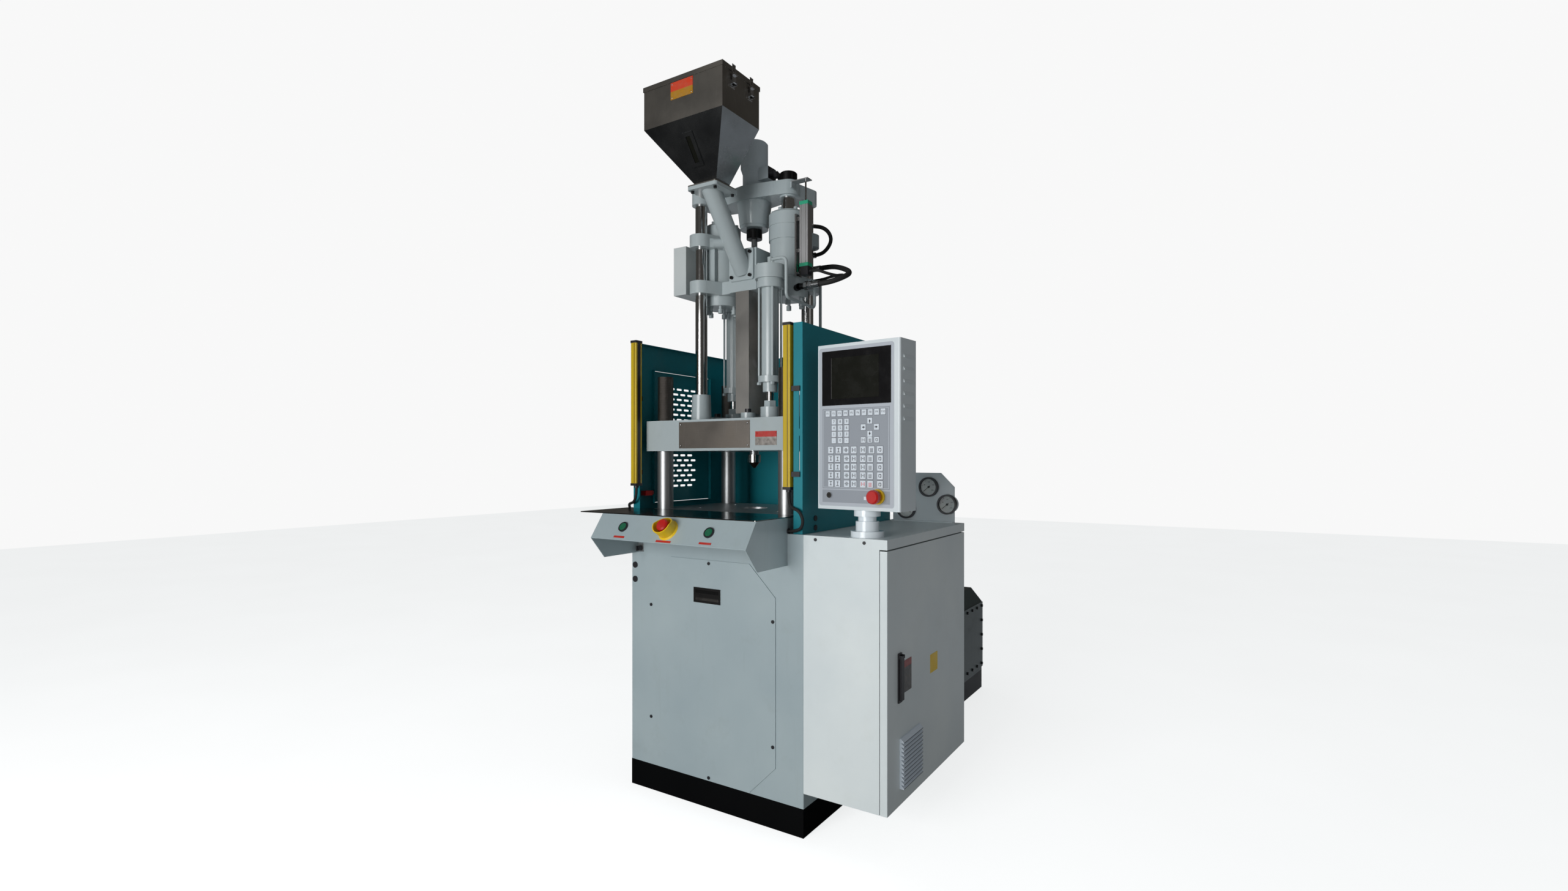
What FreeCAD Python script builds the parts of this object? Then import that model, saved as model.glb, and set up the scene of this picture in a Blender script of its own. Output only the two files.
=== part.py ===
"""Vertical injection moulding machine with four tie bars, in millimetres.

The origin is on the floor under the injection axis. +X points to the operator's
right, +Y to the rear and +Z up. The machine is modelled at rest: clamp open,
injection unit down on its seat, covers closed.
"""
import FreeCAD
import Part
import math
import os

V = FreeCAD.Vector

# ---------------------------------------------------------------- clearances
SEAT = 0.1          # radial play of pieces fixed in the same body
RUN = 0.1           # radial running play of rods and shafts
GAP = 0.5           # play between flat faces that move past each other

# ---------------------------------------------------------------- plinth and base
PLINTH_H = 90.0
PLINTH_FLOOR = 12.0
PLINTH_RAIL = 60.0
BASE_LEFT = 335.5           # injection axis to the left face
BASE_W = 720.0
BASE_FRONT = 291.0          # injection axis to the front face
BASE_D = 675.0
BASE_TOP = 934.0
BASE_WALL = 5.0
BASE_PAD = 25.0             # thickness of the machined top that carries the table
X0, X1 = -BASE_LEFT, BASE_W - BASE_LEFT
Y0, Y1 = -BASE_FRONT, BASE_D - BASE_FRONT

# ---------------------------------------------------------------- oil tank at the rear
TANK_D = 1108.0
TANK_SIDE_H = 350.0
TANK_RIDGE_H = 414.0
TANK_SLOPE_W = 55.0
TANK_WALL = 5.0
TANK_COVER_T = 9.0
TANK_COVER_L = 330.0
TANK_COVER_H = 328.0
TANK_BOLT_R = 7.0
TANK_BOLT_H = 6.0
MOTOR_R = 118.0
MOTOR_L = 360.0
PUMP_R = 62.0
PUMP_L = 190.0
FILLER_R = 42.0
FILLER_H = 46.0

# ---------------------------------------------------------------- clamp
PLATEN_W = 643.0
PLATEN_D = 468.0
PLATEN_T = 109.0
DAYLIGHT = 209.0
TABLE_T = 53.0              # ground steel table block
TABLE_W = 600.0
TABLE_D = 436.0
BAR_R = 29.0
BAR_X = 262.5
BAR_Y = 192.5
BAR_END = 161.0              # threaded end over the platen
THREAD_CUT = 0.6            # threaded end is this much smaller in radius
CROSS_T = 90.0
CROSS_TOP = 470.0
NUT_R = 48.0
NUT_T = 40.0
CYL_R = 110.0
CYL_BORE_R = 85.0
CYL_SPARE = 130.0           # length of the bore left over the stroke
CYL_END_T = 35.0
CYL_FLANGE_R = 150.0
RAM_R = 60.0
PISTON_T = 50.0
CLAMP_STROKE = 120.0
CYL_H = CLAMP_STROKE + CYL_SPARE + PISTON_T + 2 * CYL_END_T
TABLE_Z = BASE_TOP + TABLE_T
PLATEN_Z = TABLE_Z + DAYLIGHT
PLATEN_TOP = PLATEN_Z + PLATEN_T
BAR_TOP = PLATEN_TOP + BAR_END
MOULD_HOLE_R = 8.0
MOULD_HOLE_X = 340.0
MOULD_HOLE_Y = 220.0
MOULD_HOLE_DEPTH = 36.0
LOCATING_R = 50.0
LOCATING_DEPTH = 8.0
PLATEN_BORE_R = 45.0
PLATEN_STUDS = [(62.0, -128.0, 26.0, 24.0), (-186.0, 20.0, 30.0, 22.0)]     # x, y, radius, height
PLATEN_PLATES = [(-162.0, 144.0, PLATEN_Z + 9, PLATEN_Z + 101), (166.0, 250.0, PLATEN_Z + 17, PLATEN_Z + 63)]

# ---------------------------------------------------------------- guide rods and carriage cylinders
ROD_R = 22.0
ROD_X, ROD_Y = 166.0, 104.0     # left front and right rear, on a diagonal
ROD_BOTTOM = PLATEN_TOP - 59.0
BOSS_H = 98.0
BOSS_R0, BOSS_R1 = 38.0, 34.0
LIFT_AT = [(176.0, -161.0), (-176.0, 112.0)]
LIFT_BOSS_R, LIFT_BOSS_H = 33.0, 38.0
LIFT_ROD_R = 12.5
LIFT_NUT_W, LIFT_NUT_H = 38.0, 21.0
LIFT_NECK_R, LIFT_NECK_Z, LIFT_NECK_H = 25.0, PLATEN_TOP + 88.0, 32.0
LIFT_END_R, LIFT_END_T = 41.0, 21.0
LIFT_TUBE_R, LIFT_BORE_R = 29.5, 24.0
LIFT_TOP_Z = PLATEN_TOP + 437.0
LIFT_FLANGE_R, LIFT_FLANGE_T = 45.0, 23.0
LIFT_CAP_R, LIFT_CAP_H = 42.5, 54.0
LIFT_TIE_R, LIFT_TIE_PCR = 4.0, 38.0
CARR_STROKE = 45.0
LIFT_PISTON_T = 30.0
LIFT_PISTON_Z = LIFT_NECK_Z + LIFT_NECK_H + LIFT_END_T + CARR_STROKE + 69.0

# ---------------------------------------------------------------- carriage
CARR_Z, CARR_T = PLATEN_TOP + 468.0, 46.0
CARR_BOSS_R = 43.0
INJ_X = 148.0                   # injection cylinders, left and right of the axis
INJ_R = 66.0                    # barrel; the gland and the yoke ring are wider
INJ_HEAD_R = 70.0
INJ_BORE_R = 50.0
INJ_CAP_T = 53.0
INJ_END_T = 34.0
INJ_ROD_R = 25.0
INJ_PISTON_T = 40.0
INJ_LOW_SPARE, INJ_HIGH_SPARE = 20.0, 60.0     # bore left under and over the piston's strokes
INJ_UP, INJ_DOWN = 55.0, 45.0
INJ_BOTTOM = CARR_Z - 35.0
INJ_PISTON_Z = INJ_BOTTOM + INJ_END_T + INJ_DOWN + INJ_LOW_SPARE
INJ_TOP = INJ_PISTON_Z + INJ_PISTON_T + INJ_UP + INJ_HIGH_SPARE + INJ_CAP_T
EAR_T = 46.0
EAR_Z = INJ_TOP - INJ_CAP_T - EAR_T - 3.0      # just under the cylinders' glands
BLOCK_W, BLOCK_D = 120.0, 150.0
BLOCK_TOP = CARR_Z + 150.0

# ---------------------------------------------------------------- barrel, nozzle and screw
BARREL_R, BARREL_BORE_R = 23.0, 11.0
BARREL_Z = PLATEN_Z - 13.0
BARREL_TOP = BLOCK_TOP
BARREL_HEAD_R = 17.0
HEAD_H = 13.0
NOZZLE_R = 23.4
NOZZLE_H = 28.0
NOZZLE_TIP_H = 21.0
NOZZLE_TIP_R = 4.0
NOZZLE_BORE_R = 1.5
BAND_R, BAND_H = 27.0, 70.0
BAND_COUNT = 4
BAND_Z0, BAND_PITCH = PLATEN_TOP + 40.0, 100.0
SHIELD_W, SHIELD_D, SHIELD_T = 58.0, 154.0, 1.5
SHIELD_Z = PLATEN_TOP + 27.0
SCREW_R = 10.9
SCREW_ROOT_R = 7.6
SCREW_TIP_Z = PLATEN_Z + 66.0
COUPLING_R = 29.0
COUPLING_Z0, COUPLING_Z1 = BLOCK_TOP + 54.0, BLOCK_TOP + 86.0

# ---------------------------------------------------------------- injection plate
PLATE_Z, PLATE_T = INJ_TOP + INJ_DOWN + 16.0, 50.0     # clear of the glands at the lowest stroke
PLATE_BOSS_R = 40.0
GUIDE_BOSS_R = 34.0
DRUM_TOP_R, DRUM_LOW_R = 70.0, 54.0
DRUM_Z = PLATE_Z - 83.0
DRUM_FLANGE_R, DRUM_FLANGE_T = 52.0, 11.0
CAP_NUT_R, CAP_NUT_H = 32.0, 35.0
SCREW_MOTOR_R0, SCREW_MOTOR_R1 = 43.0, 50.5
SCREW_MOTOR_Z1, SCREW_MOTOR_Z2, SCREW_MOTOR_TOP = PLATE_Z + 108.0, PLATE_Z + 130.0, PLATE_Z + 224.0

# ---------------------------------------------------------------- hopper and feed pipe
FEED_Y = -250.0                 # axis of the hopper outlet
FLANGE_Z, FLANGE_W, FLANGE_T = CARR_Z + 301.0, 124.0, 12.0
PIPE_R, PIPE_WALL = 32.5, 4.0
PAD_W, PAD_H, PAD_T = 104.0, 112.0, 9.0
PAD_Z = CARR_Z + 37.0
PORT_R, PORT_L = 17.0, 44.0
PORT_AIM = V(-0.82, -0.57, 0)
HOPPER_X, HOPPER_Y, HOPPER_CY = 327.0, 202.0, -310.0
HOPPER_Z1, HOPPER_Z2 = FLANGE_Z + 190.0, FLANGE_Z + 330.0
OUTLET_X, OUTLET_Y = 80.0, 66.0
HOPPER_T = 1.5
LID_H = 14.0
LID_LIP = 2.5
LID_PLAY = 0.8
HOPPER_FOOT_T = 4.0
LATCH_PITCH = 97.0
LATCH_PIVOT, LATCH_LEDGE, LATCH_WIRE = -50.0, 5.0, 1.3
HOPPER_PLATE = (92.0, 1.2, 70.0, 125.0)        # width, thickness, low and high edge over the knee

# ---------------------------------------------------------------- small things on the carriage
TERM_X0, TERM_X1, TERM_Y0, TERM_Y1 = -284.0, -225.0, -122.0, 20.0
TERM_Z0, TERM_Z1 = CARR_Z + 7.0, CARR_Z + 186.0
TERM_WALL = 2.0
# manifold block behind the right cylinder: low corner, then high corner
JUNCTION = (72.0, 82.0, CARR_Z + CARR_T, 140.0, 170.0, EAR_Z - GAP)
SCALE_X, SCALE_Y = 238.5, -30.5
SCALE_W, SCALE_D = 33.0, 29.0
SCALE_Z0, SCALE_Z1 = CARR_Z + 63.0, CARR_Z + 290.0
SCALE_CAP_H = 12.0
SCALE_ROD_R = 3.0
SCALE_BRACKET_Z = PLATE_Z + 32.0
SCALE_CLIPS = [CARR_Z + 113.0, CARR_Z + 223.0]
SCALE_PLATE_T = 6.0
HARD_PIPE_R = 5.5
HARD_PIPE_BEND = 18.0
UNION_AIM = -33.0               # direction of the lower hose union about its cylinder
HOSE_R, HOSE_2_R, CABLE_R = 9.0, 7.0, 5.0
HOSE_1 = [(303.0, -49.0, 1766.0), (328.7, -49.0, 1766.0), (352.6, -40.1, 1771.2), (370.4, -23.5, 1780.5),
          (380.5, 1.8, 1793.9), (377.0, 31.0, 1808.0), (362.0, 58.0, 1823.0), (337.0, 82.0, 1838.0),
          (304.0, 104.0, 1854.0), (267.0, 128.0, 1868.0), (232.0, 146.0, 1876.0), (198.0, 146.0, 1876.0)]
HOSE_2 = [(217.0, 58.0, 2005.0), (234.5, 72.7, 2005.0), (250.0, 88.0, 1998.0), (257.0, 106.0, 1986.0),
          (254.0, 125.0, 1972.0), (242.0, 140.0, 1958.0), (222.3, 148.1, 1941.5), (198.0, 150.0, 1929.0),
          (174.0, 150.0, 1929.0)]
CABLE = [(263.0, -30.0, 1820.0), (285.0, -30.0, 1820.0), (312.0, -16.0, 1808.0), (336.0, 12.0, 1802.0),
         (344.0, 46.0, 1808.0), (328.0, 80.0, 1820.0), (290.0, 108.0, 1830.0), (246.0, 132.0, 1834.0),
         (200.0, 150.0, 1834.0), (158.0, 150.0, 1834.0)]

# ---------------------------------------------------------------- guards and light curtains
GUARD_H = 659.0
GUARD_TOP = BASE_TOP + GUARD_H
GUARD_T = 2.5
GUARD_R_X = X1 - 10.5
GUARD_L_X = X0 - 31.5
GUARD_L_FRONT = Y0 + 41.0
GUARD_FRONT = Y0 + 12.0
GUARD_FLANGE = 33.0
GUARD_SLOTS = [(198.0, 306.0), (328.0, 454.0)]      # slots in the right guard's return, over the base
GUARD_SLOT_W = 2.5
DOOR_Y0, DOOR_Y1 = -150.0, 190.0
DOOR_Z0, DOOR_Z1 = BASE_TOP + 68.0, BASE_TOP + 568.0
DOOR_GRIP_Z, DOOR_GRIP_H = DOOR_Z0 + 208.0, 100.0
DOOR_HINGE_H, DOOR_HINGE_R = 60.0, 4.0
DOOR_HINGE_Z = [DOOR_Z0 + 60.0, DOOR_Z1 - 120.0]
VENT_ROWS, VENT_COLS = 20, 4
VENT_L, VENT_H = 32.0, 8.0
VENT_PITCH_Y, VENT_PITCH_Z = 43.0, 20.0
VENT_Y0, VENT_Z0 = DOOR_Y0 + 90.0, DOOR_Z0 + 60.0
CURTAIN_W, CURTAIN_D = 27.0, 31.0
CURTAIN_Z0, CURTAIN_L = BASE_TOP + 137.0, 524.0
CURTAIN_Z1 = CURTAIN_Z0 + CURTAIN_L
CURTAIN_X = [X0 + 7.0, X1 - 62.5]
CURTAIN_Y = Y0 + 15.5
CURTAIN_END = 9.0
LEAD_R = 5.0
LEAD_GLAND_R, LEAD_GLAND_L = 8.0, 8.0
CURTAIN_BRACKETS = [CURTAIN_Z0 + 49.0, CURTAIN_Z0 + 316.0]

# routes of the two leads, from the gland under each bar back into the machine
RIGHT_LEAD = [(322.0, -275.5, 1063.0), (322.0, -275.5, 1035.9), (336.9, -285.8, 1015.7), (372.4, -294.5, 1007.7),
              (387.5, -294.6, 973.7), (367.1, -287.5, 943.0), (330.0, -287.5, 943.0)]
LEFT_LEAD = [(-328.5, -275.5, 1063.0), (-328.5, -275.5, 1036.4), (-347.6, -268.2, 1010.5), (-376.7, -253.7, 1004.9),
             (-402.7, -233.8, 1000.8), (-426.4, -212.0, 993.4), (-435.2, -193.3, 967.7), (-430.1, -179.4, 938.1),
             (-407.7, -172.9, 914.8), (-376.5, -172.0, 904.0), (-343.5, -172.0, 904.0)]

# ---------------------------------------------------------------- table sheet and console
SHEET_X0, SHEET_X1 = X0 - 79.0, X1 - 58.0
SHEET_Y0 = Y0 - 172.5
SHEET_T = 3.0
RAIL_X1 = X1 - 62.5
NOTCH = 1.0               # play round the guard where it passes the sheet
CONSOLE_X0, CONSOLE_X1 = X0 + 32.0, X1 - 58.0
CONSOLE_T = 2.5
CONSOLE_Y = [Y0 - 172.0, Y0 - 226.0, Y0 - 166.0]    # top front, nose, lower corner
CONSOLE_Z = [TABLE_Z - SHEET_T, BASE_TOP - 28.0, BASE_TOP - 99.0]
BUTTON_X = [-180.0, 174.0]
STOP_X = 11.5
BUTTON_R, BEZEL_R = 13.0, 17.5
BUTTON_TRAVEL = 4.0
SWITCH_DEPTH = 12.0             # from the face to the switch block behind it
TAG_H, TAG_T = 7.0, 0.8
STOP_R, STOP_HEAD_H = 20.0, 14.0
SELECTOR_X, SELECTOR_Z = CONSOLE_X0 + 15.5, CONSOLE_Z[2] + 16.0

# ---------------------------------------------------------------- front cover
COVER_X0, COVER_X1 = X0 + 87.5, X1 - 101.5
COVER_Z0, COVER_Z1 = PLINTH_H + 3.0, BASE_TOP - 105.0
COVER_CUT = 100.0
COVER_T = 3.0
COVER_LIP = 18.0
COVER_SCREW_R, COVER_SCREW_H = 5.5, 2.5
COVER_SCREWS = [(18.0, COVER_Z1 - 11), (18.0, COVER_Z0 + 9),
                (COVER_X0 + 9, COVER_Z1 - 175), (COVER_X1 - 9, COVER_Z1 - 175),
                (COVER_X0 + 9, COVER_Z0 + 166), (COVER_X1 - 9, COVER_Z0 + 166)]
PULL_X0, PULL_X1, PULL_Z0, PULL_Z1 = -46.0, 68.0, COVER_Z1 - 145.0, COVER_Z1 - 94.0

# ---------------------------------------------------------------- electrical cabinet
CAB_W = 254.5
CAB_X1 = X1 + CAB_W
CAB_Z0 = PLINTH_H + 48.5
CAB_T = 2.0
CAB_TOP_H = 29.0
CAB_DOOR_T = 25.0
CAB_DOOR_GAP = 2.0
CAB_FRAME_T, CAB_FRAME_W = 20.0, 22.0
GASKET_W = 9.0
CAB_HINGE_H = 70.0
HANDLE_H = 147.0
HANDLE_Y0, HANDLE_Y1 = Y0 + 74.0, Y0 + 99.0
HANDLE_Z0 = CAB_Z0 + 306.5
HANDLE_Z1 = HANDLE_Z0 + HANDLE_H
HANDLE_T = 12.0
HANDLE_PIN_R = 1.5
GRILLE_Y0, GRILLE_W, GRILLE_Z0, GRILLE_H = Y0 + 89.0, 152.0, CAB_Z0 + 49.5, 149.0
GRILLE_T, GRILLE_SLATS = 14.0, 12

# ---------------------------------------------------------------- control panel
POST_X, POST_Y = X1 + 186.5, Y0 + 62.0
PANEL_TURN = -5.0
PANEL_W, PANEL_D, PANEL_H = 286.0, 100.0, 498.0
PANEL_OFF = -5.0
PANEL_Z = BASE_TOP + 82.0
PANEL_R = 6.0
FACE_X, FACE_Z = (7.5, 266.0), (9.5, 488.0)        # silver sheet, from the panel's top left corner
SCREEN_X, SCREEN_Z, SCREEN_W, SCREEN_H = 19.0, 20.0, 238.0, 165.0
PAD_X, PAD_Z0, PAD_Z1, STRIP_Z = (20.0, 253.0), 194.5, 436.0, (439.5, 477.5)
PANEL_STOP, PANEL_LOCK = (215.5, 456.0), (47.0, 455.5)
POST_STEPS = [(50.0, 18.0), (35.0, 29.0), (27.5, 15.0)]     # radius and height, from the cabinet up
POST_HEAD_R = 40.0

# ---------------------------------------------------------------- gauges
GAUGE_Y = Y1 - 4.0
GAUGE_PLATE_T = 3.0
GAUGE_X0, GAUGE_X1, GAUGE_TOP, GAUGE_CUT = X1 + 1.5, CAB_X1 - 10.0, BASE_TOP + 182.0, 52.0
GAUGE_AT = [(X1 + 58.5, BASE_TOP + 45.0), (X1 + 147.5, BASE_TOP + 129.0), (X1 + 218.5, BASE_TOP + 66.0)]
DIAL_DEPTH = 11.0               # from the bezel's front to the dial's back
GAUGE_R = 36.5
GAUGE_DEPTH = 30.0

NODES = {}


def keep(name, *shapes):
    """Adds solids to the node of that name."""
    NODES.setdefault(name, []).extend(solid for shape in shapes for solid in shape.Solids)


def box(x0, y0, z0, x1, y1, z1):
    return Part.makeBox(x1 - x0, y1 - y0, z1 - z0, V(x0, y0, z0))


def rod(x, y, z0, z1, r):
    """Upright cylinder."""
    return Part.makeCylinder(r, z1 - z0, V(x, y, z0))


def tube(x, y, z0, z1, outer, inner):
    return rod(x, y, z0, z1, outer).cut(rod(x, y, z0 - 1, z1 + 1, inner))


def cone(x, y, z0, z1, r0, r1):
    return Part.makeCone(r0, r1, z1 - z0, V(x, y, z0))


def bar(start, direction, length, r):
    """Cylinder from a point along a direction."""
    return Part.makeCylinder(r, length, V(*start), V(*direction))


def prism(points, direction):
    """Solid swept from a closed outline of 3D points."""
    wire = Part.makePolygon([V(*p) for p in points] + [V(*points[0])])
    return Part.Face(wire).extrude(V(*direction))


def bend(points, radius_of):
    """Wire of straight runs joined by tangent arcs; radius_of gives a corner's radius from its turn and runs."""
    pts = [V(*p) for p in points]
    edges, last, radii = [], pts[0], []
    for a, b, c in zip(pts, pts[1:], pts[2:]):
        into, out = b.sub(a), c.sub(b)
        turn = into.getAngle(out)
        radius = radius_of(turn, min(into.Length, out.Length))
        reach = radius * math.tan(turn / 2)
        into.normalize()
        out.normalize()
        start, stop = b.sub(into * reach), b.add(out * reach)
        inward = out.sub(into).normalize()
        middle = b.add(inward * (radius / math.cos(turn / 2) - radius))
        edges += [Part.LineSegment(last, start).toShape(), Part.Arc(start, middle, stop).toShape()]
        last = stop
        radii.append(radius)
    edges.append(Part.LineSegment(last, pts[-1]).toShape())
    return Part.Wire(edges), radii


def sweep(wire, start, heading, r):
    ring = Part.Wire(Part.makeCircle(r, V(*start), heading))
    return wire.makePipeShell([ring], True, False)


def hard_pipe(points, r, radius):
    """Rigid pipe bent to one radius."""
    wire, _ = bend(points, lambda turn, run: radius)
    return sweep(wire, points[0], V(*points[1]).sub(V(*points[0])), r)


def limp_cord(name, points, r):
    """Free cord: each bend as wide as its two runs allow."""
    wire, radii = bend(points, lambda turn, run: 0.45 * run / math.tan(turn / 2))
    solid = sweep(wire, points[0], V(*points[1]).sub(V(*points[0])), r)
    ratio = solid.Volume / (math.pi * r * r * wire.Length)
    print(name, "length %.0f" % wire.Length, "radii", ["%.0f" % q for q in radii], "volume ratio %.3f" % ratio)
    keep(name, solid)


def hexagon(x, y, z0, z1, across):
    """Upright hexagonal prism, given across its flats."""
    r = across / math.sqrt(3)
    ring = [(x + r * math.cos(math.radians(60 * k)), y + r * math.sin(math.radians(60 * k)), z0)
            for k in range(6)]
    return prism(ring, (0, 0, z1 - z0))


def fuse(shapes):
    whole = shapes[0].multiFuse(shapes[1:])
    return whole.removeSplitter()


def ring_at(x, y, radius, count, turn=0.0):
    """Points of a bolt circle."""
    return [(x + radius * math.cos(math.radians(turn + 360.0 * k / count)),
             y + radius * math.sin(math.radians(turn + 360.0 * k / count))) for k in range(count)]


def web(c0, r0, c1, r1, z0, z1):
    """Arm with the outline of two circles and their outer tangents."""
    dx, dy = c1[0] - c0[0], c1[1] - c0[1]
    along = math.atan2(dy, dx)
    lean = math.acos((r0 - r1) / math.hypot(dx, dy))
    corners = []
    for centre, r, side in ((c0, r0, 1), (c1, r1, 1), (c1, r1, -1), (c0, r0, -1)):
        a = along + side * lean
        corners.append((centre[0] + r * math.cos(a), centre[1] + r * math.sin(a), z0))
    return fuse([prism(corners, (0, 0, z1 - z0)), rod(c0[0], c0[1], z0, z1, r0), rod(c1[0], c1[1], z0, z1, r1)])


def round_edges(shape, r, chosen):
    """Fillets the edges that the test picks."""
    edges = [e for e in shape.Edges if chosen(e)]
    return shape.makeFillet(r, edges) if edges else shape


def upright(edge):
    a, b = edge.Vertexes[0].Point, edge.Vertexes[-1].Point
    return abs(a.x - b.x) < 0.01 and abs(a.y - b.y) < 0.01 and abs(a.z - b.z) > 1


def cut_octagon(y, depth, inset=0.0):
    """Octagonal block of the front access cover, or its opening when inset."""
    x0, x1 = COVER_X0 + inset, COVER_X1 - inset
    z0, z1 = COVER_Z0 + inset, COVER_Z1 - inset
    c = COVER_CUT
    ring = [(x0 + c, y, z0), (x1 - c, y, z0), (x1, y, z0 + c), (x1, y, z1 - c),
            (x1 - c, y, z1), (x0 + c, y, z1), (x0, y, z1 - c), (x0, y, z0 + c)]
    return prism(ring, (0, depth, 0))


# ================================================================ base
def build_plinth():
    rear = Y1 + TANK_D
    body = box(X0, Y0, 0, X1, rear, PLINTH_H)
    edge = PLINTH_RAIL / 2
    for y0, y1 in ((Y0, -PLINTH_RAIL), (PLINTH_RAIL, Y1), (Y1, (Y1 + rear) / 2), ((Y1 + rear) / 2, rear)):
        pocket = box(X0 + PLINTH_RAIL, y0 + edge, PLINTH_FLOOR, X1 - PLINTH_RAIL, y1 - edge, PLINTH_H + 1)
        body = body.cut(pocket)
    keep("plinth", body)


def build_base():
    """Welded base frame with its machined top and the opening behind the front cover."""
    w = BASE_WALL
    body = box(X0, Y0, PLINTH_H, X1, Y1, BASE_TOP)
    body = body.cut(box(X0 + w, Y0 + w, PLINTH_H - 1, X1 - w, Y1 - w, BASE_TOP - BASE_PAD))
    body = body.cut(cut_octagon(Y0 - 1, w + 2, COVER_LIP))
    for sx in (-1, 1):
        for sy in (-1, 1):
            body = body.cut(rod(sx * BAR_X, sy * BAR_Y, BASE_TOP - BASE_PAD - 1, BASE_TOP + 1, BAR_R + GAP))
    body = round_edges(body, 3.0, lambda e: upright(e) and e.Length > 800)
    keep("base_frame", body)


def build_front_cover():
    cover = cut_octagon(Y0 - COVER_T, COVER_T)
    hole = box(PULL_X0 + 5, Y0 - COVER_T - 1, PULL_Z0 + 5, PULL_X1 - 5, Y0 + 1, PULL_Z1 - 5)
    keep("front_cover", cover.cut(hole))
    # flush pull: a pressed tray with a rim that lies on the cover
    rim = box(PULL_X0, Y0 - COVER_T - 2, PULL_Z0, PULL_X1, Y0 - COVER_T, PULL_Z1)
    tray = box(PULL_X0 + 5.5, Y0 - COVER_T - 2, PULL_Z0 + 5.5, PULL_X1 - 5.5, Y0 + 16, PULL_Z1 - 5.5)
    pull = fuse([rim, tray])
    pull = pull.cut(box(PULL_X0 + 8, Y0 - COVER_T - 3, PULL_Z0 + 8, PULL_X1 - 8, Y0 + 14, PULL_Z1 - 8))
    lip = prism([(PULL_X0 + 7, Y0 - COVER_T - 2, PULL_Z1 - 8), (PULL_X0 + 7, Y0 + 2, PULL_Z1 - 8),
                 (PULL_X0 + 7, Y0 + 2, PULL_Z1 - 20), (PULL_X0 + 7, Y0 - 1, PULL_Z1 - 20)],
                (PULL_X1 - PULL_X0 - 14, 0, 0))
    keep("front_hardware", fuse([pull, lip]))
    screws = [bar((x, Y0 - COVER_T, z), (0, -1, 0), COVER_SCREW_H, COVER_SCREW_R) for x, z in COVER_SCREWS]
    keep("front_hardware", *screws)


def build_tank():
    y0, y1 = Y1, Y1 + TANK_D
    z0 = PLINTH_H
    side, ridge, slope = z0 + TANK_SIDE_H, z0 + TANK_RIDGE_H, TANK_SLOPE_W
    outline = [(X0, y0, z0), (X1, y0, z0), (X1, y0, side), (X1 - slope, y0, ridge),
               (X0 + slope, y0, ridge), (X0, y0, side)]
    w = TANK_WALL
    inner = [(X0 + w, y0, z0 + w), (X1 - w, y0, z0 + w), (X1 - w, y0, side - w),
             (X1 - slope, y0, ridge - w), (X0 + slope, y0, ridge - w), (X0 + w, y0, side - w)]
    ends = [prism(outline, (0, w, 0)), prism([(x, y1 - w, z) for x, y, z in outline], (0, w, 0))]
    sides = []
    for k, (a, b) in enumerate(zip(outline, inner)):
        c, d = outline[(k + 1) % 6], inner[(k + 1) % 6]
        sides.append(prism([(x, y0 + w, z) for x, y, z in (a, c, d, b)], (0, TANK_D - 2 * w, 0)))
    keep("oil_tank", *ends, *sides)
    cy1 = y1 - 12
    cy0 = cy1 - TANK_COVER_L
    cz0 = z0 + 22
    keep("oil_tank", box(X1, cy0, cz0, X1 + TANK_COVER_T, cy1, cz0 + TANK_COVER_H))
    bolts = []
    for row in (cz0 + 18, cz0 + TANK_COVER_H - 18):
        for k in range(5):
            y = cy0 + 18 + k * (TANK_COVER_L - 36) / 4
            bolts.append(bar((X1 + TANK_COVER_T, y, row), (1, 0, 0), TANK_BOLT_H, TANK_BOLT_R))
    for k in range(3):
        z = cz0 + 18 + (k + 1) * (TANK_COVER_H - 36) / 4
        for y in (cy0 + 18, cy1 - 18):
            bolts.append(bar((X1 + TANK_COVER_T, y, z), (1, 0, 0), TANK_BOLT_H, TANK_BOLT_R))
    keep("oil_tank", Part.makeCompound(bolts))
    fx, fy = X1 - TANK_SLOPE_W - FILLER_R, y1 - 200
    filler = fuse([rod(fx, fy, ridge, ridge + FILLER_H * 0.4, FILLER_R * 0.7),
                   rod(fx, fy, ridge + FILLER_H * 0.4, ridge + FILLER_H, FILLER_R)])
    keep("pump_set", filler)
    # pump motor lying on the tank, with its feet, fan cowl and terminal box
    mz = ridge + MOTOR_R + 12
    my = y0 + 330
    body = bar((0, my, mz), (0, 1, 0), MOTOR_L, MOTOR_R - 8)
    fins = []
    for k in range(24):
        fin = box(-2, my + 30, mz + MOTOR_R - 14, 2, my + MOTOR_L - 70, mz + MOTOR_R)
        fin.rotate(V(0, my, mz), V(0, 1, 0), 15 * k)
        fins.append(fin)
    cowl = bar((0, my + MOTOR_L - 70, mz), (0, 1, 0), 70, MOTOR_R)
    feet = box(-95, my + 50, ridge, 95, my + MOTOR_L - 110, ridge + 40)
    conn = box(MOTOR_R - 20, my + 90, mz - 45, MOTOR_R + 45, my + 190, mz + 45)
    keep("pump_set", fuse([body, cowl, feet, conn] + fins))
    bell = fuse([bar((0, my - 90, mz), (0, 1, 0), 90, 92), bar((0, my - 90 - PUMP_L, mz), (0, 1, 0), PUMP_L, PUMP_R),
                 box(-30, my - 90 - PUMP_L + 20, ridge, 30, my - 110, mz)])
    keep("pump_set", bell)


# ================================================================ clamp
def bar_places():
    return [(sx * BAR_X, sy * BAR_Y) for sx in (-1, 1) for sy in (-1, 1)]


def mould_holes(z0, depth):
    return [rod(sx * MOULD_HOLE_X / 2, sy * MOULD_HOLE_Y / 2, z0, z0 + depth, MOULD_HOLE_R)
            for sx in (-1, 1) for sy in (-1, 1)]


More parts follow.
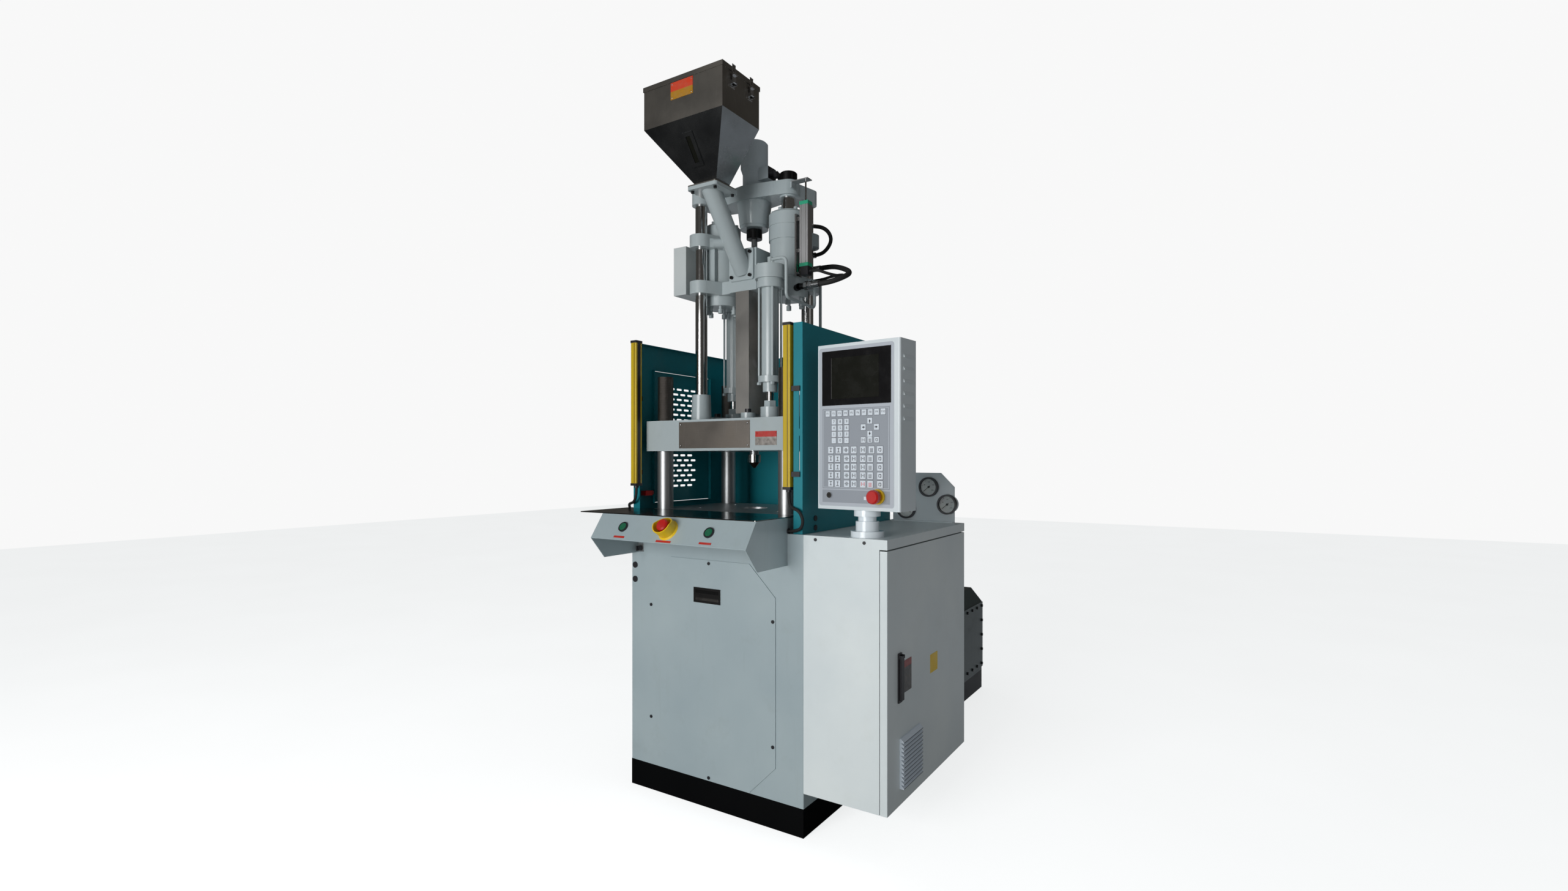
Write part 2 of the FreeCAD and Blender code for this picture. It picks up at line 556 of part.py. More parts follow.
def build_table():
    block = box(-TABLE_W / 2, -TABLE_D / 2, BASE_TOP, TABLE_W / 2, TABLE_D / 2, TABLE_Z)
    for x, y in bar_places():
        block = block.cut(rod(x, y, BASE_TOP - 1, TABLE_Z + 1, BAR_R + RUN))
    for hole in mould_holes(TABLE_Z - MOULD_HOLE_DEPTH, MOULD_HOLE_DEPTH + 1):
        block = block.cut(hole)
    block = block.cut(rod(0, 0, TABLE_Z - LOCATING_DEPTH, TABLE_Z + 1, LOCATING_R))
    block = round_edges(block, 4.0, lambda e: upright(e) and e.Length > TABLE_T - 1 and len(e.Vertexes) == 2
                        and abs(abs(e.Vertexes[0].X) - TABLE_W / 2) < 0.1)
    keep("table_block", block)
    # stainless top sheet in front of the block, carried by the console and the base
    sheet = box(SHEET_X0, SHEET_Y0, TABLE_Z - SHEET_T, SHEET_X1, -TABLE_D / 2 - GAP, TABLE_Z)
    sheet = round_edges(sheet, 6.0, upright)
    notch_low = (GUARD_L_X - NOTCH, GUARD_L_FRONT - NOTCH, TABLE_Z - SHEET_T - 1)
    sheet = sheet.cut(box(*notch_low, X0 + NOTCH, 0, TABLE_Z + 1))
    rail = box(X0 + 20, Y0, BASE_TOP, RAIL_X1, -TABLE_D / 2 - GAP, TABLE_Z - SHEET_T)
    rail = rail.cut(box(X0 + 26, Y0 + 6, BASE_TOP - 1, RAIL_X1 - 6, -TABLE_D / 2 - GAP - 10, TABLE_Z))
    for x, y in bar_places():
        play = rod(x, y, BASE_TOP - 1, TABLE_Z + 1, BAR_R + GAP)
        sheet = sheet.cut(play)
        rail = rail.cut(play)
    keep("table_sheet", sheet)
    keep("base_frame", rail)


def build_clamp_cylinder():
    top = BASE_TOP - BASE_PAD
    bottom = top - CYL_H
    barrel = fuse([rod(0, 0, bottom, top, CYL_R), rod(0, 0, top - 40, top, CYL_FLANGE_R)])
    barrel = barrel.cut(rod(0, 0, bottom + CYL_END_T, top - CYL_END_T, CYL_BORE_R))
    barrel = barrel.cut(rod(0, 0, bottom - 1, bottom + CYL_END_T + 1, RAM_R + RUN))
    keep("clamp_cylinder", barrel)
    piston_top = top - CYL_END_T - 2
    ram = fuse([rod(0, 0, CROSS_TOP, piston_top, RAM_R),
                rod(0, 0, piston_top - PISTON_T, piston_top, CYL_BORE_R - RUN)])
    keep("tie_bars", ram)


def build_crosshead():
    z1, z0 = CROSS_TOP, CROSS_TOP - CROSS_T
    head = box(-BAR_X - 45, -70, z0, BAR_X + 45, 70, z1)
    for sx in (-1, 1):
        head = head.fuse(box(sx * BAR_X - 50, -BAR_Y - 50, z0, sx * BAR_X + 50, BAR_Y + 50, z1))
    head = head.removeSplitter()
    for x, y in bar_places():
        head = head.cut(rod(x, y, z0 - 1, z1 + 1, BAR_R + SEAT))
    head = round_edges(head, 10.0, lambda e: upright(e) and len(e.Vertexes) == 2)
    keep("crosshead", head)
    bars, nuts = [], []
    for x, y in bar_places():
        bars.append(fuse([rod(x, y, z0 - NUT_T - 6, PLATEN_TOP, BAR_R),
                          rod(x, y, PLATEN_TOP, BAR_TOP, BAR_R - THREAD_CUT)]))
        hole = rod(x, y, z0 - NUT_T - 1, z0 + 1, BAR_R + SEAT)
        nuts.append(hexagon(x, y, z0 - NUT_T, z0, 2 * NUT_R).cut(hole))
    keep("tie_bars", Part.makeCompound(bars))
    keep("tie_bars", Part.makeCompound(nuts))


def build_upper_platen():
    """Moving upper platen with its guide and cylinder bosses."""
    z0, z1 = PLATEN_Z, PLATEN_TOP
    slab = box(-PLATEN_W / 2, -PLATEN_D / 2, z0, PLATEN_W / 2, PLATEN_D / 2, z1)
    slab = round_edges(slab, 7.0, upright)
    parts = [slab]
    for s in (-1, 1):
        parts.append(cone(s * ROD_X, s * ROD_Y, z1 - 1, z1 + BOSS_H, BOSS_R0, BOSS_R1))
    for x, y in LIFT_AT:
        parts.append(rod(x, y, z1 - 1, z1 + LIFT_BOSS_H, LIFT_BOSS_R))
    for x, y, r, h in PLATEN_STUDS:
        parts.append(rod(x, y, z1 - 1, z1 + h, r))
    platen = fuse(parts)
    for x, y in bar_places():
        platen = platen.cut(rod(x, y, z0 - 1, z1 + 1, BAR_R + SEAT))
    for s in (-1, 1):
        platen = platen.cut(rod(s * ROD_X, s * ROD_Y, z0 + 4, z1 + BOSS_H + 1, ROD_R + RUN))
    platen = platen.cut(rod(0, 0, z0 - 1, z1 + 1, PLATEN_BORE_R))
    for hole in mould_holes(z0 - 1, MOULD_HOLE_DEPTH + 1):
        platen = platen.cut(hole)
    keep("upper_platen", platen)
    caps = [rod(x, y, z1 + h, z1 + h + 14, 0.42 * r) for x, y, r, h in PLATEN_STUDS]
    keep("platen_trim", Part.makeCompound(caps))
    # bare plates on the front of the platen, each held by four pins
    plates = []
    for x0, x1, pz0, pz1 in PLATEN_PLATES:
        yf = -PLATEN_D / 2
        plate = box(x0, yf - 1.5, pz0, x1, yf, pz1)
        pins = [bar((x, yf - 1.5, z), (0, -1, 0), 1.2, 2.4) for x in (x0 + 6, x1 - 6) for z in (pz0 + 6, pz1 - 6)]
        plates.append(fuse([plate] + pins))
    keep("platen_trim", Part.makeCompound(plates))


def build_lift_cylinders():
    """Two tie-rod cylinders that raise the injection unit off the platen."""
    tubes, ends, ties, rods, nuts = [], [], [], [], []
    neck_top = LIFT_NECK_Z + LIFT_NECK_H
    low_top = neck_top + LIFT_END_T
    cap_z = LIFT_TOP_Z + LIFT_FLANGE_T
    for x, y in LIFT_AT:
        tubes.append(tube(x, y, low_top, LIFT_TOP_Z, LIFT_TUBE_R, LIFT_BORE_R))
        low = fuse([rod(x, y, LIFT_NECK_Z, neck_top, LIFT_NECK_R), rod(x, y, neck_top, low_top, LIFT_END_R)])
        low = low.cut(rod(x, y, LIFT_NECK_Z - 1, low_top + 1, LIFT_ROD_R + RUN))
        cap = fuse([rod(x, y, LIFT_TOP_Z, cap_z, LIFT_FLANGE_R),
                    rod(x, y, cap_z, cap_z + LIFT_CAP_H - 8, LIFT_CAP_R),
                    cone(x, y, cap_z + LIFT_CAP_H - 8, cap_z + LIFT_CAP_H, LIFT_CAP_R, LIFT_CAP_R - 8)])
        ends += [low, cap]
        for tx, ty in ring_at(x, y, LIFT_TIE_PCR, 4, 45):
            ties.append(rod(tx, ty, low_top, LIFT_TOP_Z, LIFT_TIE_R))
            ties.append(hexagon(tx, ty, neck_top - 9, neck_top, 13))
            ties.append(hexagon(tx, ty, cap_z + LIFT_CAP_H, cap_z + LIFT_CAP_H + 7, 11))
        z1 = PLATEN_TOP + LIFT_BOSS_H
        rods.append(fuse([rod(x, y, z1, LIFT_PISTON_Z, LIFT_ROD_R),
                          rod(x, y, LIFT_PISTON_Z, LIFT_PISTON_Z + LIFT_PISTON_T, LIFT_BORE_R - RUN)]))
        nut = hexagon(x, y, z1, z1 + LIFT_NUT_H, LIFT_NUT_W)
        nuts.append(nut.cut(rod(x, y, z1 - 1, z1 + LIFT_NUT_H + 1, LIFT_ROD_R + SEAT)))
    keep("lift_cylinders", *(tubes + ends + ties))
    keep("lift_rods", *(rods + nuts))


# ================================================================ carriage
def build_carriage():
    """Cast carriage: lower plate with two guide bosses, upper ears on both guide rods and the throat block."""
    z0, z1 = CARR_Z, CARR_Z + CARR_T
    left, right = (-ROD_X, -ROD_Y), (ROD_X, ROD_Y)
    parts = [web((-INJ_X, 0), INJ_R, (INJ_X, 0), INJ_R, z0, z1),
             web((-INJ_X + 20, 0), 56, left, CARR_BOSS_R, z0, z1),
             web((INJ_X - 20, 0), 56, right, CARR_BOSS_R, z0, z1),
             box(-BLOCK_W / 2, -BLOCK_D / 2, z0, BLOCK_W / 2, BLOCK_D / 2, BLOCK_TOP),
             box(TERM_X1, -30, z0, -INJ_X, 30, z1)]
    for x, y in LIFT_AT:
        parts.append(web((x, y), LIFT_CAP_R + 8, (math.copysign(90, x), math.copysign(40, y)), 30, z0, z1))
    for s, rod_at in ((-1, left), (1, right)):
        parts.append(web(rod_at, CARR_BOSS_R, (s * (INJ_X - 12), s * 24), 40, EAR_Z, EAR_Z + EAR_T))
        rib = box(INJ_X - 26, INJ_R - 12, z1 - 1, INJ_X + 6, INJ_R + 15, EAR_Z + 1)
        parts.append(rib if s > 0 else rib.mirror(V(0, 0, 0), V(1, 0, 0)).mirror(V(0, 0, 0), V(0, 1, 0)))
    body = fuse(parts)
    for s in (-1, 1):
        body = body.cut(rod(s * INJ_X, 0, INJ_BOTTOM, INJ_TOP, INJ_HEAD_R + SEAT))
        body = body.cut(rod(s * ROD_X, s * ROD_Y, z0 - 1, EAR_Z + EAR_T + 1, ROD_R + RUN))
    for x, y in LIFT_AT:
        body = body.cut(rod(x, y, z0 - 1, z1 + 1, LIFT_CAP_R + SEAT))
    body = body.cut(rod(0, 0, z0 - 1, BLOCK_TOP + 1, BARREL_R + SEAT))
    throat_start = (0, -BLOCK_D / 2 - 1, feed_low()[2])
    body = body.cut(bar(throat_start, (0, 1, 0), BLOCK_D / 2 - BARREL_R + 4, PIPE_R - PIPE_WALL))
    keep("carriage", body)
    keep("carriage", box(*JUNCTION))


def build_injection_cylinders():
    """Twin cylinders with a rounded lower end cap, a yoke ring and a bolted gland."""
    barrels, glands, rods, bolts = [], [], [], []
    for s in (-1, 1):
        x = s * INJ_X
        top = INJ_TOP - INJ_CAP_T
        cap = Part.makeCylinder(INJ_HEAD_R, CARR_Z + CARR_T - INJ_BOTTOM - 6, V(x, 0, INJ_BOTTOM))
        cap = cap.makeFillet(10, [e for e in cap.Edges if abs(e.BoundBox.ZMin - (CARR_Z + CARR_T - 6)) < 0.1
                                  and abs(e.BoundBox.ZMax - e.BoundBox.ZMin) < 0.1])
        shell = fuse([cap, rod(x, 0, INJ_BOTTOM + 4, top, INJ_R), rod(x, 0, EAR_Z, top, INJ_HEAD_R)])
        shell = shell.cut(rod(x, 0, INJ_BOTTOM + INJ_END_T, top + 1, INJ_BORE_R))
        barrels.append(shell)
        gland = fuse([rod(x, 0, top + 2, INJ_TOP - 8, INJ_HEAD_R), rod(x, 0, top, INJ_TOP - 7, INJ_HEAD_R - 2),
                      cone(x, 0, INJ_TOP - 8, INJ_TOP, INJ_HEAD_R, INJ_HEAD_R - 8)])
        gland = gland.cut(rod(x, 0, top - 1, INJ_TOP + 1, INJ_ROD_R + RUN))
        studs = [rod(bx, by, INJ_TOP, INJ_TOP + 9, 7) for bx, by in ring_at(x, 0, INJ_HEAD_R - 16, 6, 30)]
        glands.append(fuse([gland] + studs))
        rods.append(fuse([rod(x, 0, INJ_PISTON_Z, PLATE_Z + PLATE_T, INJ_ROD_R),
                          rod(x, 0, INJ_PISTON_Z, INJ_PISTON_Z + INJ_PISTON_T, INJ_BORE_R - RUN)]))
        for bx, by in ring_at(x, 0, INJ_HEAD_R - 16, 6, 0):
            bolts.append(rod(bx, by, INJ_BOTTOM - 12, INJ_BOTTOM, 6))
            bolts.append(rod(bx, by, INJ_BOTTOM - 28, INJ_BOTTOM - 12, 9))
    keep("injection_cylinders", *(barrels + glands + bolts))
    keep("guide_rods", *rods)


def build_barrel():
    z0, top = BARREL_Z + HEAD_H, BARREL_TOP
    barrel = fuse([rod(0, 0, BARREL_Z, z0, BARREL_HEAD_R), rod(0, 0, z0, top, BARREL_R)])
    barrel = barrel.cut(rod(0, 0, BARREL_Z - 1, top + 1, BARREL_BORE_R))
    barrel = barrel.cut(bar((0, -BARREL_R - 1, feed_low()[2]), (0, 1, 0), BARREL_R, 9))
    keep("barrel", barrel)
    nose = BARREL_Z - NOZZLE_H
    nozzle = fuse([rod(0, 0, nose, BARREL_Z, NOZZLE_R),
                   cone(0, 0, nose - NOZZLE_TIP_H, nose, NOZZLE_TIP_R, NOZZLE_R - 3)])
    nozzle = nozzle.cut(rod(0, 0, nose - NOZZLE_TIP_H - 1, BARREL_Z + 1, NOZZLE_BORE_R))
    keep("barrel", nozzle)
    bands = []
    for k in range(BAND_COUNT):
        z = BAND_Z0 + k * BAND_PITCH
        bands.append(tube(0, 0, z, z + BAND_H, BAND_R, BARREL_R + SEAT))
    keep("barrel", Part.makeCompound(bands))
    w, d, t = SHIELD_W / 2, SHIELD_D / 2, SHIELD_T
    shield = box(-w, -d, SHIELD_Z, w, d, CARR_Z).cut(box(-w + t, -d + t, SHIELD_Z - 1, w - t, d - t, CARR_Z + 1))
    keep("barrel_shield", shield)


def build_screw():
    """Plasticising screw, drawn as its core, with the coupling to the drive."""
    core = fuse([rod(0, 0, SCREW_TIP_Z + 18, BARREL_TOP, SCREW_ROOT_R),
                 cone(0, 0, SCREW_TIP_Z, SCREW_TIP_Z + 18, 2, SCREW_ROOT_R),
                 rod(0, 0, BARREL_TOP - 70, COUPLING_Z0, SCREW_R),
                 rod(0, 0, COUPLING_Z0, COUPLING_Z1, COUPLING_R)])
    keep("screw", core)


def feed_low():
    """Centre of the feed pipe where it meets the throat block."""
    return (0.0, -BLOCK_D / 2 - PAD_T, PAD_Z + PAD_H * 0.46)


def build_feed():
    """Cast feed pipe with its bolted pad, square top flange and side port."""
    low = V(*feed_low())
    high = V(0, FEED_Y, FLANGE_Z)
    run = high.sub(low)
    lean = V(run).normalize()
    inside = low.sub(lean * 24)
    pipe = Part.makeCylinder(PIPE_R, run.Length + 60, inside, lean)
    bore = Part.makeCylinder(PIPE_R - PIPE_WALL, run.Length + 140, low.sub(lean * 60), lean)
    reach = 2 * run.Length
    keepout = box(-reach, -BLOCK_D / 2, low.z - reach, reach, reach, high.z + reach)
    above = box(-reach, FEED_Y - reach, FLANGE_Z + FLANGE_T, reach, reach, high.z + reach)
    pad = box(-PAD_W / 2, -BLOCK_D / 2 - PAD_T, PAD_Z, PAD_W / 2, -BLOCK_D / 2, PAD_Z + PAD_H)
    pad = round_edges(pad, 8.0, lambda e: abs(e.Length - PAD_T) < 0.01)
    h = FLANGE_W / 2
    flange = box(-h, FEED_Y - h, FLANGE_Z, h, FEED_Y + h, FLANGE_Z + FLANGE_T)
    flange = round_edges(flange, 10.0, upright)
    side = low.add(run * 0.32)
    port = Part.makeCylinder(PORT_R, PORT_L + PIPE_R - 10, side, PORT_AIM).cut(pipe)
    keep("feed_pipe", pipe.cut(keepout).cut(above).cut(bore), pad.cut(pipe), flange.cut(pipe), port)
    end = side.add(V(PORT_AIM).normalize() * (PORT_L + PIPE_R - 10))
    cap = hexagon(0, 0, 0, 12, 30)
    cap.Placement = FreeCAD.Placement(end, FreeCAD.Rotation(V(0, 0, 1), PORT_AIM))
    keep("feed_pipe", cap)
    bolts = [bar((x, -BLOCK_D / 2 - PAD_T, z), (0, -1, 0), 8, 6)
             for x in (-PAD_W / 2 + 12, PAD_W / 2 - 12) for z in (PAD_Z + 14, PAD_Z + PAD_H - 14)]
    bolts += [rod(x, y, FLANGE_Z - 8, FLANGE_Z, 5.5)
              for x in (-h + 14, h - 14) for y in (FEED_Y - h + 14, FEED_Y + h - 14)]
    keep("feed_pipe", Part.makeCompound(bolts))


def four_sheets(z0, low, z1, high, t):
    """Four mitred sheets that join two rectangles, each given as half X, half Y and centre in Y."""
    sheets = []
    for side in range(4):
        faces = []
        for z, (hx, hy, cy) in ((z0, low), (z1, high)):
            corners = [(-1, -1), (1, -1), (1, 1), (-1, 1)]
            a, b = corners[side], corners[(side + 1) % 4]
            ring = [(sx * (hx - inset), cy + sy * (hy - inset), z)
                    for (sx, sy), inset in ((a, 0), (b, 0), (b, t), (a, t))]
            faces.append(Part.makePolygon([V(*p) for p in ring] + [V(*ring[0])]))
        sheets.append(Part.makeLoft(faces, True, True))
    return sheets


def build_hopper():
    """Square bin over a leaning funnel, with its foot, sight slot, plate and pressed lid."""
    low = FLANGE_Z + FLANGE_T + HOPPER_FOOT_T
    rim = (HOPPER_X / 2, HOPPER_Y / 2, HOPPER_CY)
    outlet = (OUTLET_X / 2, OUTLET_Y / 2, FEED_Y)
    keep("hopper", *four_sheets(low, outlet, HOPPER_Z1, rim, HOPPER_T),
         *four_sheets(HOPPER_Z1, rim, HOPPER_Z2, rim, HOPPER_T))
    h = FLANGE_W / 2
    hole = OUTLET_X / 2 - HOPPER_T, OUTLET_Y / 2 - HOPPER_T
    foot = round_edges(box(-h, FEED_Y - h, low - HOPPER_FOOT_T, h, FEED_Y + h, low), 10.0, upright)
    keep("hopper", foot.cut(box(-hole[0], FEED_Y - hole[1], low - 9, hole[0], FEED_Y + hole[1], low + 1)))
    # lid: a pressed tray that closes over the rim
    z0 = HOPPER_Z2
    hx, hy = HOPPER_X / 2, HOPPER_Y / 2
    ex, ey = hx + LID_LIP, hy + LID_LIP
    skirt = (ex, ey, HOPPER_CY)
    keep("hopper_lid", box(-ex, HOPPER_CY - ey, z0, ex, HOPPER_CY + ey, z0 + HOPPER_T),
         *four_sheets(z0 - LID_H + GAP, skirt, z0, skirt, LID_LIP - LID_PLAY))
    for y in (HOPPER_CY - LATCH_PITCH / 2, HOPPER_CY + LATCH_PITCH / 2):
        keep("hopper_lid", box(ex, y - 5, z0 - 2, ex + 4.8, y + 5, z0 + LATCH_LEDGE))
    # sight window on the front of the funnel: a raised frame round a slot
    front_top = V(0, HOPPER_CY - HOPPER_Y / 2, HOPPER_Z1)
    front_low = V(0, FEED_Y - OUTLET_Y / 2, low)
    down = front_low.sub(front_top).normalize()
    normal = down.cross(V(1, 0, 0)).normalize()
    if normal.y > 0:
        normal = normal * -1
    mid = front_top.add(front_low.sub(front_top) * 0.45)
    frame = Part.makeBox(44, 110, 5, V(-22, -55, 0)).cut(Part.makeBox(18, 84, 8, V(-9, -42, -1)))
    pane = Part.makeBox(18, 84, 2, V(-9, -42, 0.5))
    place = FreeCAD.Placement(mid, FreeCAD.Rotation(V(1, 0, 0), down * -1, normal, "ZXY"))
    frame.Placement = place
    pane.Placement = place
    keep("hopper", frame, pane)
    yf = HOPPER_CY - HOPPER_Y / 2
    wide, thick, plate_low, plate_high = HOPPER_PLATE
    keep("hopper", box(-wide / 2, yf - thick, HOPPER_Z1 + plate_low, wide / 2, yf, HOPPER_Z1 + plate_high))


def build_latches():
    """Two hook latches on the right wall of the hopper: a base with its pin, and a lever with a wire loop."""
    x = HOPPER_X / 2
    z = HOPPER_Z2 + LATCH_PIVOT
    loop_z = HOPPER_Z2 + LATCH_LEDGE + 0.3 + LATCH_WIRE
    for k, y in enumerate((HOPPER_CY - LATCH_PITCH / 2, HOPPER_CY + LATCH_PITCH / 2)):
        plate = box(x, y - 12, z - 14, x + 1.5, y + 12, z + 20)
        ears = [box(x + 1, y + s * 10.5 - 1, z - 6, x + 12, y + s * 10.5 + 1, z + 6) for s in (-1, 1)]
        base = fuse([plate] + ears).cut(bar((x + 8, y - 14, z), (0, 1, 0), 28, 1.6 + SEAT))
        keep("hopper", base, bar((x + 8, y - 12.5, z), (0, 1, 0), 25, 1.6))
        lever = fuse([bar((x + 8, y - 9, z), (0, 1, 0), 18, 3.2), box(x + 4.7, y - 9, z, x + 8, y + 9, z + 32),
                      box(x + 4.7, y - 9, z + 22, x + 14, y + 9, z + 25)])
        lever = lever.cut(bar((x + 8, y - 14, z), (0, 1, 0), 28, 1.6 + RUN))
        wires = [rod(x + 6, y + s * 7.2, z + 30, loop_z, LATCH_WIRE) for s in (-1, 1)]
        top = bar((x + 6, y - 7.2 - LATCH_WIRE, loop_z), (0, 1, 0), 14.4 + 2 * LATCH_WIRE, LATCH_WIRE)
        keep("latch_lever_%d" % (k + 1), fuse([lever, top] + wires))


def build_terminal_box():
    b = box(TERM_X0, TERM_Y0, TERM_Z0, TERM_X1, TERM_Y1, TERM_Z1)
    w = TERM_WALL
    b = b.cut(box(TERM_X0 + w, TERM_Y0 + w, TERM_Z0 + w, TERM_X1 - w, TERM_Y1 - w, TERM_Z1 - w))
    keep("carriage", b)


def build_scale():
    """Linear position sensor beside the right injection cylinder."""
    x0, x1 = SCALE_X - SCALE_W / 2, SCALE_X + SCALE_W / 2
    y0, y1 = SCALE_Y - SCALE_D / 2, SCALE_Y + SCALE_D / 2
    c = SCALE_CAP_H
    body = box(x0, y0, SCALE_Z0 + c, x1, y1, SCALE_Z1 - c)
    for s in (-1, 1):
        body = body.cut(box(SCALE_X + s * 9 - 2, y0 - 1, SCALE_Z0, SCALE_X + s * 9 + 2, y0 + 2, SCALE_Z1))
    body = body.cut(rod(SCALE_X, SCALE_Y, SCALE_Z0, SCALE_Z1, SCALE_ROD_R + 3))
    keep("linear_scale", body)
    for z in (SCALE_Z0, SCALE_Z1 - c):
        cap = box(x0 - 0.8, y0 - 0.8, z, x1 + 0.8, y1 + 0.8, z + c)
        keep("linear_scale", cap.cut(rod(SCALE_X, SCALE_Y, z - 1, z + c + 1, SCALE_ROD_R + RUN)))
    keep("linear_scale", box(x0 + 4, y0, SCALE_Z0 - 30, x1, y1, SCALE_Z0).cut(
        rod(SCALE_X, SCALE_Y, SCALE_Z0 - 12, SCALE_Z0 + 1, SCALE_ROD_R + 3)))
    # upright plate welded to the cylinder, with two clips that hold the sensor
    px1 = INJ_X + INJ_HEAD_R - 3
    plate = box(px1 - SCALE_PLATE_T, -56, SCALE_Z0 - 32, px1, 0, SCALE_Z1 - 44)
    plate = plate.cut(rod(INJ_X, 0, SCALE_Z0 - 60, INJ_TOP, INJ_HEAD_R + SEAT))
    clips = [box(px1 - 1, y0 - 5, z, x0, y0 + 7, z + 12) for z in SCALE_CLIPS]
    clips += [bar((px1 - 1, y0 - 1, SCALE_Z0 - 21), (1, 0, 0), 9, 4)]
    keep("linear_scale", fuse([plate] + clips))
    tip = SCALE_BRACKET_Z
    keep("guide_rods", rod(SCALE_X, SCALE_Y, SCALE_Z0 + 70, tip, SCALE_ROD_R))


# ================================================================ injection plate
def build_injection_plate():
    z0, z1 = PLATE_Z, PLATE_Z + PLATE_T
    parts = []
    for s in (-1, 1):
        parts.append(web((0, 0), DRUM_TOP_R, (s * INJ_X, 0), PLATE_BOSS_R, z0, z1))
        guide = (s * ROD_X, s * ROD_Y)
        parts.append(web((s * INJ_X, 0), PLATE_BOSS_R - 8, guide, GUIDE_BOSS_R, z0 - 6, z1 - 6))
    parts.append(cone(0, 0, DRUM_Z, z1, DRUM_LOW_R, DRUM_TOP_R))
    parts.append(rod(0, 0, DRUM_Z - DRUM_FLANGE_T, DRUM_Z, DRUM_FLANGE_R))
    body = fuse(parts)
    for s in (-1, 1):
        body = body.cut(rod(s * INJ_X, 0, z0 - 8, z1 + 1, INJ_ROD_R + SEAT))
        body = body.cut(rod(s * ROD_X, s * ROD_Y, z0 - 8, z1, ROD_R + SEAT))
    body = body.cut(rod(0, 0, DRUM_Z - DRUM_FLANGE_T - 1, z1 - 20, COUPLING_R - 6))
    keep("injection_plate", body)
    rods = [rod(s * ROD_X, s * ROD_Y, ROD_BOTTOM, z1 - 6, ROD_R) for s in (-1, 1)]
    keep("guide_rods", Part.makeCompound(rods))
    nuts = []
    for s in (-1, 1):
        nut = fuse([rod(s * INJ_X, 0, z1, z1 + CAP_NUT_H - 4, CAP_NUT_R),
                    cone(s * INJ_X, 0, z1 + CAP_NUT_H - 4, z1 + CAP_NUT_H, CAP_NUT_R, CAP_NUT_R - 4)])
        nuts.append(nut)
    keep("injection_plate", Part.makeCompound(nuts))
    motor = fuse([rod(0, 0, z1, SCREW_MOTOR_Z1, SCREW_MOTOR_R0),
                  cone(0, 0, SCREW_MOTOR_Z1, SCREW_MOTOR_Z2, SCREW_MOTOR_R0, SCREW_MOTOR_R1),
                  rod(0, 0, SCREW_MOTOR_Z2, SCREW_MOTOR_TOP - 6, SCREW_MOTOR_R1),
                  cone(0, 0, SCREW_MOTOR_TOP - 6, SCREW_MOTOR_TOP, SCREW_MOTOR_R1, SCREW_MOTOR_R1 - 6),
                  box(20, -26, z1 + 26, 78, 26, z1 + 70)])
    keep("screw_motor", motor)
    elbows = [fuse([bar((78, y, z1 + 48), (1, 0, 0), 16, 11), bar((94, y, z1 + 48), (0.5, 0, -1), 26, 8)])
              for y in (-13, 13)]
    keep("screw_motor", Part.makeCompound(elbows))
    # bracket that carries the sensor rod
    tip = SCALE_BRACKET_Z
    arm = box(INJ_X + PLATE_BOSS_R - 4, SCALE_Y - 16, z0 + 12, INJ_X + PLATE_BOSS_R + 2, SCALE_Y + 10, tip)
    top = box(INJ_X + PLATE_BOSS_R - 4, SCALE_Y - 16, tip, SCALE_X + 16, SCALE_Y + 16, tip + 3)
    bracket = fuse([arm, top]).cut(web((0, 0), DRUM_TOP_R, (INJ_X, 0), PLATE_BOSS_R, z0 - 1, z1 + 1))
    keep("injection_plate", bracket)


# ================================================================ guards
def slot_cutter(x0, x1, y, z, length, height):
    """Obround cutter through a wall square to X."""
    r = height / 2
    half = length / 2 - r
    return fuse([box(x0, y - half, z - r, x1, y + half, z + r),
                 bar((x0, y - half, z), (1, 0, 0), x1 - x0, r), bar((x0, y + half, z), (1, 0, 0), x1 - x0, r)])


